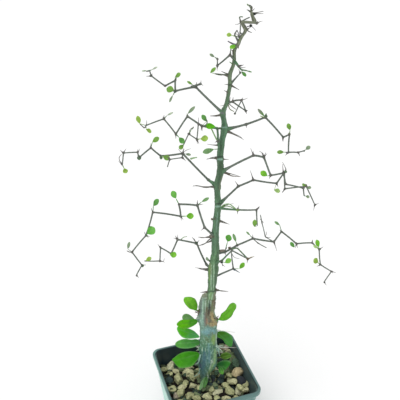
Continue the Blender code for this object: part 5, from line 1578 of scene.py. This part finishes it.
def seen_rows(outline, start, along, side, count):
    """Rows of a blade whose edge is seen as an outline: reach along it and the offsets of its two edges."""
    face = side.cross(along)
    edge = []
    for x, y in curved(outline):
        line = sight_line(x, y)
        spot = EYE + line * ((start - EYE).dot(face) / line.dot(face)) - start
        edge.append((spot.dot(along), spot.dot(side)))
    low, high = min(edge)[0], max(edge)[0]
    rows = []
    for n in range(count + 1):
        at = low + (high - low) * (0.5 - 0.5 * math.cos(math.pi * (0.02 + 0.96 * n / count)))
        cuts = []
        for (s0, t0), (s1, t1) in zip(edge, edge[1:] + edge[:1]):
            if min(s0, s1) <= at <= max(s0, s1) and s0 != s1:
                cuts.append(t0 + (t1 - t0) * (at - s0) / (s1 - s0))
        rows.append((at, min(cuts), max(cuts)))
    return rows


def formed_rows(length, width, lead, tail, count):
    """Rows of a blade drawn by a formula: lead moves its widest part, a small tail makes blunt ends."""
    rows = []
    for n in range(count + 1):
        reach = 0.5 - 0.5 * math.cos(math.pi * (0.03 + 0.94 * n / count))
        half = width / 2 * math.sin(math.pi * reach ** lead) ** tail
        rows.append((length * reach, -half, half))
    return rows


def blade(skin, root, start, along, side, rows, tones, columns, cup, droop, stalk, thick):
    """Leaf: a round stalk from its root, then a cupped blade with a sunk rib, rounded at its edge."""
    face = side.cross(along)
    base, far, edge_tone, stalk_tone = tones
    turns = [math.tau * k / (2 * columns) for k in range(2 * columns)]
    low, high = rows[0][0], rows[-1][0]
    foot = start + along * low
    rings = []
    for n in range(7):
        share = n / 7
        place = root.lerp(foot, share)
        tone = mixed(stalk_tone, base, share)
        rings.append([(place + (face * math.cos(t) + side * math.sin(t)) * stalk * (0.62 - 0.2 * share), tone)
                      for t in turns])
    for at, left, right in rows:
        reach = (at - low) / (high - low)
        rib = max(0.8 * left + 0.2 * right, min(0.0, 0.2 * left + 0.8 * right))
        depth = max(thick / 2 * smooth(1.03 - reach, 0.0, 0.12), stalk * 0.4 * (1 - smooth(reach, 0.0, 0.2)))
        middle = start + along * at - face * droop * reach * reach
        ring = []
        for t in turns:
            across, up = math.sin(t), math.cos(t)
            aside = rib + across * (right - rib if across > 0 else rib - left)
            lift = -cup * (right - left) * (1 - abs(across) ** 1.6)
            lift += 0.02 * (right - left) * math.sin(reach * 9 + across * 2.5)
            sunk = hump(across, 0.09) * (0.22 if up < 0 else 0.16) * thick * (1 - 0.6 * reach)
            spot = middle + side * aside + face * (lift + depth * up - sunk)
            slant = (reach * 9 - abs(across) * 2.2) * math.tau
            veins = 0.05 * math.sin(slant) * smooth(abs(across), 0.1, 0.4)
            tone = mixed(base, far, smooth(reach + 0.25 * grain(spot, 4 * MM, 2), 0.2, 0.8))
            tone = mixed(tone, edge_tone, 0.8 * smooth(abs(across), 0.74, 1.0) + 0.35 * hump(across, 0.06))
            ring.append((spot, scaled(tone, 1 + veins + 0.12 * grain(spot, 2.6 * MM, 3))))
        rings.append(ring)
    skin.loft(rings)


STALK_BROWN = (112, 104, 78)
LEAF_FACING = Vector((0, 0, 1)) - VIEW_BACK * 0.9


def stock_leaf(skin, root, ends, toward, colours, shape, skin_size):
    """Leaf of the rootstock between two ends seen in the view; its shape is an outline there or a width."""
    count, columns, stalk, thick = skin_size
    start, tip = seen_at(*ends[:2], toward[0] * MM), seen_at(*ends[2:], toward[1] * MM)
    along = (tip - start).normalized()
    side = along.cross(LEAF_FACING).normalized()
    if isinstance(shape, list):
        rows = seen_rows(shape, start, along, side, count)
    else:
        rows = formed_rows((tip - start).length, shape * MM, *STOCK_FORM, count)
    tones = [linear(colour) for colour in (*colours, STALK_BROWN)]
    blade(skin, root, start, along, side, rows, tones, columns, STOCK_CUP, 0.0, stalk, thick)


def make_rootstock_leaves(finish):
    for number, (height, *leaf) in enumerate(STOCK_LEAVES, 1):
        skin = Skin()
        root = seen_at(STOCK_MIDDLE, height)
        stock_leaf(skin, root, *leaf, STOCK_BLADE)
        if number in SECOND_LEAVES:
            stock_leaf(skin, root, *SECOND_LEAVES[number], SECOND_BLADE)
        name = "rootstock_leaf_%02d" % number
        skin.piece(name + "_blade", finish, "leaf", name)


# Trunk ground colour by y in the view, and strokes as on the rootstock
TRUNK_GROUND = [
    (0.0, (124, 126, 108)), (40.0, (114, 122, 100)), (80.0, (96, 116, 88)), (120.0, (84, 120, 90)),
    (140.0, (82, 120, 90)), (168.0, (72, 98, 72)), (190.0, (84, 118, 88)), (215.0, (80, 114, 84)),
    (240.0, (86, 120, 92)), (268.0, (92, 128, 88)), (290.0, (94, 128, 90)), (305.0, (104, 138, 98)),
    (320.0, (92, 104, 78))]
TRUNK_STROKES = [
    ("frost", 211.3, 265.0, 211.1, 290.0, 0.4, 0.8), ("frost", 213.9, 263.0, 213.4, 291.0, 0.4, 0.75),
    ("shade", 212.5, 266.0, 212.2, 290.0, 0.7, 0.7), ("spring", 209.5, 263.0, 209.3, 280.0, 1.0, 0.6),
    ("shade", 216.2, 262.0, 215.0, 289.0, 0.9, 0.7), ("frost", 208.9, 293.6, 209.6, 303.0, 0.4, 0.8),
    ("frost", 212.9, 293.6, 210.4, 303.0, 0.4, 0.8), ("shade", 211.2, 294.0, 210.2, 302.0, 0.6, 0.7),
    ("shade", 208.0, 264.0, 208.2, 289.0, 0.4, 0.6),
    ("seam", 208.0, 292.0, 215.4, 291.2, 0.6, 0.8), ("mist", 216.8, 159.4, 223.2, 159.4, 0.9, 0.85),
    ("seam", 217.0, 157.0, 223.0, 156.8, 0.8, 0.85), ("mist", 215.4, 206.6, 221.2, 206.4, 0.8, 0.8),
    ("seam", 215.6, 204.0, 221.4, 203.6, 0.7, 0.8), ("shade", 214.6, 186.0, 216.0, 200.0, 0.9, 0.6),
    ("shade", 221.0, 130.0, 220.6, 153.0, 0.8, 0.6), ("shade", 213.4, 233.0, 213.6, 256.0, 1.0, 0.6),
    ("fern", 211.0, 292.8, 209.7, 300.0, 1.4, 0.7), ("bark", 215.0, 293.0, 214.2, 308.0, 1.5, 0.9),
    ("bark", 222.0, 176.0, 219.2, 190.0, 0.8, 0.5), ("mist", 217.6, 212.0, 216.4, 232.0, 0.5, 0.5),
    ("shade", 222.6, 112.0, 224.4, 128.0, 1.0, 0.6), ("seam", 213.0, 216.0, 219.0, 219.6, 0.5, 0.5),
    ("mist", 221.0, 127.6, 228.0, 127.4, 0.6, 0.7), ("seam", 228.6, 85.0, 231.6, 85.0, 0.7, 0.9),
    ("violet", 220.8, 112.6, 223.6, 113.4, 1.0, 0.7), ("shade", 219.4, 166.0, 219.0, 182.0, 1.4, 0.6),
    ("umber", 212.4, 235.0, 214.4, 238.0, 1.0, 0.7), ("olive", 210.4, 264.0, 211.0, 274.0, 1.0, 0.6),
    ("spring", 238.0, 38.0, 239.6, 40.0, 1.0, 0.8)]


def trunk_paint(spot, out, turn):
    """Green bark with long light and dark streaks, painted shade toward its sides as the view sees them, and
    strokes where the view shows them.
    """
    x, y = view_of(spot)
    paint = linear(from_table(TRUNK_GROUND, y + 6 * grain(spot, 9 * MM, 2)))
    streak = grain(Vector((spot.x, spot.y, spot.z / 9)), 0.8 * MM, 3)
    facing = abs(out.dot(VIEW_BACK))
    # Painted shade: the bark is darker toward its sides as seen in the view
    paint = scaled(paint, 0.82 + 0.22 * facing + 0.32 * streak + 0.2 * math.cos(3 * turn + spot.z * 25))
    return stroked(paint, x, y, TRUNK_STROKES, spot, -out.dot(VIEW_BACK))


def make_trunk(finish, leaf_material, rng):
    points = [seen_at(x, y, toward * MM) for x, y, toward, _ in TRUNK]
    radii = [across / 2 * MM for _, _, _, across in TRUNK]
    line, widths = bent_line(points, radii, TRUNK_CORNER, 0.5 * MM)
    thorn_roots = [point_on([points], x, y) for x, y, _, _, _ in TRUNK_THORNS]
    skin = Skin()

    def form(number, turn, spot):
        swell = max(hump((line[number] - root).length, 2.2 * MM) for root in thorn_roots)
        rib = 0.06 * math.cos(5 * turn + spot.z * 30) + 0.035 * math.cos(9 * turn - spot.z * 45)
        return 1 + 0.14 * swell + rib + 0.07 * grain(spot, 2.2 * MM, 4)

    def colour(number, turn, spot):
        return trunk_paint(spot, (spot - line[number]).normalized(), turn)

    skin.tube(line, widths, TRUNK_SIDES, form, colour)
    foot_tone, tip_tone = linear((96, 94, 84)), linear((108, 106, 102))
    for number, (_, _, x, y, toward) in enumerate(TRUNK_THORNS):
        root, tip = thorn_roots[number], seen_at(x, y, toward * MM)
        foot = radii[min(range(len(points)), key=lambda k: (points[k] - root).length)]
        sag = Vector((0, 0, 1)) * (tip - root).length * 0.035 * math.sin(number * 1.7)
        skin.spike(root, tip, TRUNK_THORN_RADIUS * min(1.0, foot / (1.6 * MM)), foot, sag,
                   foot_tone, tip_tone)
    leaves = Skin()
    for x0, y0, x1, y1, toward, *form_and_look in TRUNK_LEAVES:
        leaf_on(leaves, rng, point_on([points], x0, y0), x1, y1, toward * MM, *form_and_look)
    for (x0, y0, _), *others in TRUNK_TWIGS:
        twig = [point_on([points], x0, y0)] + [seen_at(x, y, toward * MM) for x, y, toward in others]
        wood(skin, twig, [TWIG_RADIUS] * len(twig))
    fine_growth(skin, TRUNK_SHOOTS, TRUNK_KNOTS, [points])
    skin.piece("trunk_bark", finish, "trunk", "scion_trunk")
    leaves.piece("trunk_leaves", leaf_material, "leaf", "scion_trunk")

# Small leaf tones: at the stalk, at the tip, and at the edge and rib
LEAF_TONES = {
    "fresh": ((110, 170, 68), (126, 184, 80), (140, 180, 104)),
    "pale": ((158, 172, 152), (172, 184, 166), (180, 190, 174)),
    "light": ((150, 184, 104), (162, 196, 120), (168, 196, 136)),
    "sage": ((104, 146, 92), (118, 158, 106), (134, 164, 118)),
    "emerald": ((92, 164, 66), (108, 180, 78), (122, 176, 98)),
    "grey": ((116, 138, 108), (132, 152, 122), (144, 160, 134)),
    "dusk": ((104, 150, 84), (126, 132, 118), (130, 150, 112)),
    "vivid": ((78, 164, 14), (96, 182, 26), (108, 168, 56)),
    "bright": ((98, 168, 40), (118, 184, 54), (130, 178, 80)),
    "deep": ((78, 134, 62), (92, 150, 74), (110, 154, 92)),
    "olive": ((100, 144, 58), (116, 160, 70), (128, 160, 94)),
    "yellow": ((134, 168, 64), (150, 184, 80), (158, 184, 108))}


def leaf_on(skin, rng, root, x, y, toward, length, width, tone, turn=0, nearer=0):
    """Small leaf whose middle is seen at x, y, on a stalk from its joint: broadest near its blunt end.

    turn is in degrees, counter-clockwise in the view. A blade that comes more than 1 mm nearer also lies
    flatter to the view."""
    length, width = length * MM, width * MM
    middle = seen_at(x, y, toward + nearer * MM)
    along = (middle - root).normalized()
    if nearer > 1:
        along = (along - VIEW_AHEAD * 0.85 * along.dot(VIEW_AHEAD)).normalized()
    if turn:
        along = Matrix.Rotation(math.radians(turn), 3, -VIEW_AHEAD) @ along
    start = middle - along * length / 2
    if not turn and (middle - root).length < length / 2 + 1 * MM:
        start = root + along * 1 * MM
    facing = -VIEW_AHEAD + VIEW_RIGHT * rng.uniform(-0.4, 0.4) + Vector((0, 0, rng.uniform(-0.1, 0.5)))
    tones = [linear(colour) for colour in (*LEAF_TONES[tone], BARK_GREEN)]
    side = along.cross(facing).normalized()
    count, columns, stalk, thick = SMALL_BLADE
    rows = formed_rows(length, width, *SMALL_FORM, count)
    droop = LEAF_DROOP * length
    blade(skin, root, start, along, side, rows, tones, columns, SMALL_CUP, droop, stalk, thick)


def zigzag(joints, lean):
    """Joints in space: each steps back or forth from a line that leans with its reach from the trunk."""
    origin = seen_at(*joints[0])
    places = [origin]
    side = math.copysign(1, lean)
    for number, (x, y) in enumerate(joints[1:], 1):
        reach = (seen_at(x, y) - origin).length
        sway = side * BRANCH_SWAY * (1 if number % 2 else -1)
        places.append(seen_at(x, y, lean * reach + sway))
    return places


# Branch bark: green where it leaves the trunk, then dark with a violet cast, browner at the joints
BARK_GREEN = (84, 118, 88)
BARK_DARK = (100, 110, 100)
BARK_BROWN = (94, 90, 86)
# Thorns at the foot and at the tip
THORN_TONES = (linear((94, 92, 88)), linear((108, 108, 106)))


def wood(skin, places, radii, swell=0.0, green=0.0):
    """Zigzag stem with rounded joints: swell widens its root, and its bark is green for that many mm."""
    bows = []
    for number, (a, b) in enumerate(zip(places, places[1:])):
        run = b - a
        aside = run.cross(VIEW_AHEAD)
        aside = aside.normalized() if aside.length > 1e-6 else Vector((0, 0, 1))
        bows.append(aside * run.length * STEM_BOW * math.sin(number * 2.1 + run.length * 900))
    line, widths = bent_line(places, radii, BRANCH_CORNER, 0.6 * MM, bows)
    inner = places[1:-1]
    root = places[0]
    near = [min([(place - joint).length for joint in inner] or [1.0]) for place in line]
    swollen = []
    for place, width, distance in zip(line, widths, near):
        flare = swell * hump((place - root).length, FLARE_REACH)
        swollen.append(width * (STEM_WIDTH + JOINT_SWELL * hump(distance, JOINT_REACH) + flare))
    swollen[-1] *= STEM_END
    tones = [linear(colour) for colour in (BARK_GREEN, BARK_DARK, BARK_BROWN)]

    def form(number, turn, spot):
        return 1 + 0.09 * grain(spot, 1.6 * MM, 3)

    def colour(number, turn, spot):
        far = smooth((line[number] - root).length, 0.5 * green * MM, green * MM) if green else 1.0
        tone = mixed(tones[0], tones[1], far)
        tone = mixed(tone, tones[2], 0.6 * hump(near[number], 1.6 * MM))
        return scaled(tone, 1 + 0.22 * grain(spot, 3 * MM, 3))

    skin.tube(line, swollen, BRANCH_SIDES, form, colour)


def growth(skin, carriers, tone, thick, thin, points):
    """Fine curved shoot or thorn, from a line that carries it through points of the view."""
    toward = depth_of(point_on(carriers, *points[0]))
    places = [seen_at(x, y, toward + 0.5 * MM * k) for k, (x, y) in enumerate(points)]
    count = len(places) - 1
    radii = [(thick + (thin - thick) * k / count) * MM for k in range(count + 1)]
    line, widths = bent_line(places, radii, SHOOT_CORNER, 0.5 * MM)

    def colour(number, turn, spot):
        return scaled(TONES[tone], 0.92 + 0.25 * grain(spot, 2 * MM, 3))

    def form(number, turn, spot):
        return 1 + 0.1 * grain(spot, 1.2 * MM, 2)

    skin.tube(line, widths, SHOOT_SIDES, form, colour)


def knot(skin, ball, carriers, tone, x, y, size):
    """Swollen joint: a rough ball, as deep as the line that carries it."""
    place = seen_at(x, y, depth_of(point_on(carriers, x, y)))
    spots = []
    for way in ball[0]:
        spot = place + way * size * MM * (1 + 0.25 * grain(place + way * size * MM, 1.4 * MM, 3))
        spots.append((spot, scaled(TONES[tone], 1 + 0.4 * grain(spot, 0.9 * MM, 3))))
    skin.wrap(ball, spots)


def fine_growth(skin, shoots, knots, carriers):
    """The shoots and swollen joints that a part carries."""
    for tone, thick, thin, *points in shoots:
        growth(skin, carriers, tone, thick, thin, points)
    ball = round_body(3)
    for swollen in knots:
        knot(skin, ball, carriers, *swollen)


def joint_thorns(skin, places):
    """A short thorn on the outer side of each turn of a branch, on either hand by turns."""
    side = 1
    for before, place, after in zip(places, places[1:], places[2:]):
        outward = (place - before).normalized() - (after - place).normalized()
        across = (place - before).cross(after - place)
        if outward.length < 0.3 or across.length < 1e-9:
            continue
        outward.normalize()
        across.normalize()
        tip = place + (outward * THORN_OUTWARD + across * THORN_ACROSS * side) * THORN_LENGTH
        skin.spike(place, tip, THORN_RADIUS, THORN_FOOT_LENGTH, across * 0.15 * MM, *THORN_TONES)
        side = -side


def spray(skin, leaves_skin, places, leaves, thorns, first, last, rng, swell=0.0, green=0.0):
    """Stem with its thorns and leaves."""
    count = len(places) - 1
    wood(skin, places, [first + (last - first) * k / count for k in range(count + 1)], swell, green)
    joint_thorns(skin, places)
    for number, (joint, x, y) in enumerate(thorns):
        root = places[joint]
        tip = seen_at(x, y, depth_of(root) + rng.uniform(-1, 3) * MM)
        sag = Vector((0, 0, 1)) * (tip - root).length * 0.05 * math.sin(number * 2.3 + x)
        skin.spike(root, tip, THORN_RADIUS, THORN_FOOT_LENGTH, sag, *THORN_TONES)
    for joint, x, y, *form_and_look in leaves:
        toward = depth_of(places[joint]) + rng.uniform(-1.5, 2.5) * MM
        leaf_on(leaves_skin, rng, places[joint], x, y, toward, *form_and_look)


def side_stem(root, points, nearer):
    """Line from a joint through points of the view, each so many mm nearer than the joint."""
    toward = depth_of(root)
    return [root] + [seen_at(x, y, toward + lift * MM) for (x, y), lift in zip(points, nearer)]


def make_branch(name, branch, finish, leaf_material, rng):
    """A branch with what it carries: twigs, leaves, thorns, shoots and swollen joints."""
    skin, leaves = Skin(), Skin()
    places = zigzag(branch["joints"], branch["lean"])
    girth = branch.get("girth", 1.0)
    spray(skin, leaves, places, branch["leaves"], branch["thorns"], girth * BRANCH_ROOT_RADIUS,
          girth * BRANCH_TIP_RADIUS, rng, *branch["root"])
    lines = [places]
    for joint, *points in branch.get("twigs", []):
        lines.append(side_stem(places[joint], points, range(1, len(points) + 1)))
        wood(skin, lines[-1], [0.95 * TWIG_RADIUS] * len(lines[-1]))
    if "side_twig" in branch:
        joint, points, *grown = branch["side_twig"]
        lines.append(side_stem(places[joint], points, [3, 0] * len(points)))
        # Its leaves and thorns count joints from its first point, which comes after its root
        twig_leaves, twig_thorns = ([(number + 1, *rest) for number, *rest in rows] for rows in grown)
        spray(skin, leaves, lines[-1], twig_leaves, twig_thorns, BRANCH_TIP_RADIUS, TWIG_RADIUS, rng)
    fine_growth(skin, branch.get("shoots", []), branch.get("knots", []), lines)
    own = random.Random(MORE_LEAVES_SEED)
    for x0, y0, x1, y1, *form_and_look in branch.get("more_leaves", []):
        root = point_on(lines, x0, y0)
        leaf_on(leaves, own, root, x1, y1, depth_of(root) + 1 * MM, *form_and_look)
    skin.piece(name + "_wood", finish, "branch", name)
    if leaves.points:
        leaves.piece(name + "_leaves", leaf_material, "leaf", name)


def make_camera():
    camera = bpy.data.cameras.new("camera")
    camera.sensor_width = SENSOR_WIDTH
    camera.lens = SENSOR_WIDTH * VIEW_FOCAL / (2 * VIEW_CENTRE)
    camera.clip_end = 50
    obj = linked("camera", camera)
    obj.location = EYE
    obj.rotation_euler = (math.pi / 2 - VIEW_PITCH, 0, -VIEW_TURN)
    bpy.context.scene.camera = obj


def make_studio():
    """Pale floor without a visible edge, a white surround and one broad soft light from above."""
    bm = bmesh.new()
    bmesh.ops.create_grid(bm, x_segments=8, y_segments=8, size=FLOOR_REACH)
    floor = linked_mesh("floor", bm)
    paper = Finish("floor_paper", 0.1, (251, 251, 251), 0.985)
    paper.rough(paper.noise(20 * MM), 0.85, 0.95)
    floor.data.materials.append(paper.done())
    world = bpy.data.worlds.new("surround")
    world.use_nodes = True
    background = world.node_tree.nodes["Background"]
    background.inputs["Color"].default_value = (1, 1, 1, 1)
    background.inputs["Strength"].default_value = SURROUND_LIGHT
    bpy.context.scene.world = world
    sun = bpy.data.lights.new("soft_overhead", 'SUN')
    sun.energy = SUN_LIGHT
    sun.angle = SUN_SPREAD
    linked("soft_overhead", sun).rotation_euler = Vector(SUN_FROM).to_track_quat('Z', 'Y').to_euler()
    bpy.context.scene.view_settings.view_transform = 'Standard'
    bpy.context.scene.view_settings.look = 'None'


make_camera()
make_studio()
stone_material = stone_finish()
soil_material = soil_finish()
make_pot(pot_finish())
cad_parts["soil"].data.materials.clear()
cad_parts["soil"].data.materials.append(soil_material)
place_random, look_random = random.Random(PLACE_SEED), random.Random(LOOK_SEED)
make_stones(stone_material, place_random, look_random)
make_grit(stone_material, look_random)
make_bed(soil_material)
make_rootstock(rootstock_finish())
make_rootstock_leaves(leaf_finish("rootstock_leaf", 4 * MM))
stems_random = random.Random(STEM_SEED)
small_leaf = leaf_finish("scion_leaf", 2 * MM)
make_trunk(trunk_finish(), small_leaf, stems_random)
branch_bark = branch_finish()
for branch_name, branch_form in BRANCHES.items():
    make_branch(branch_name, branch_form, branch_bark, small_leaf, stems_random)
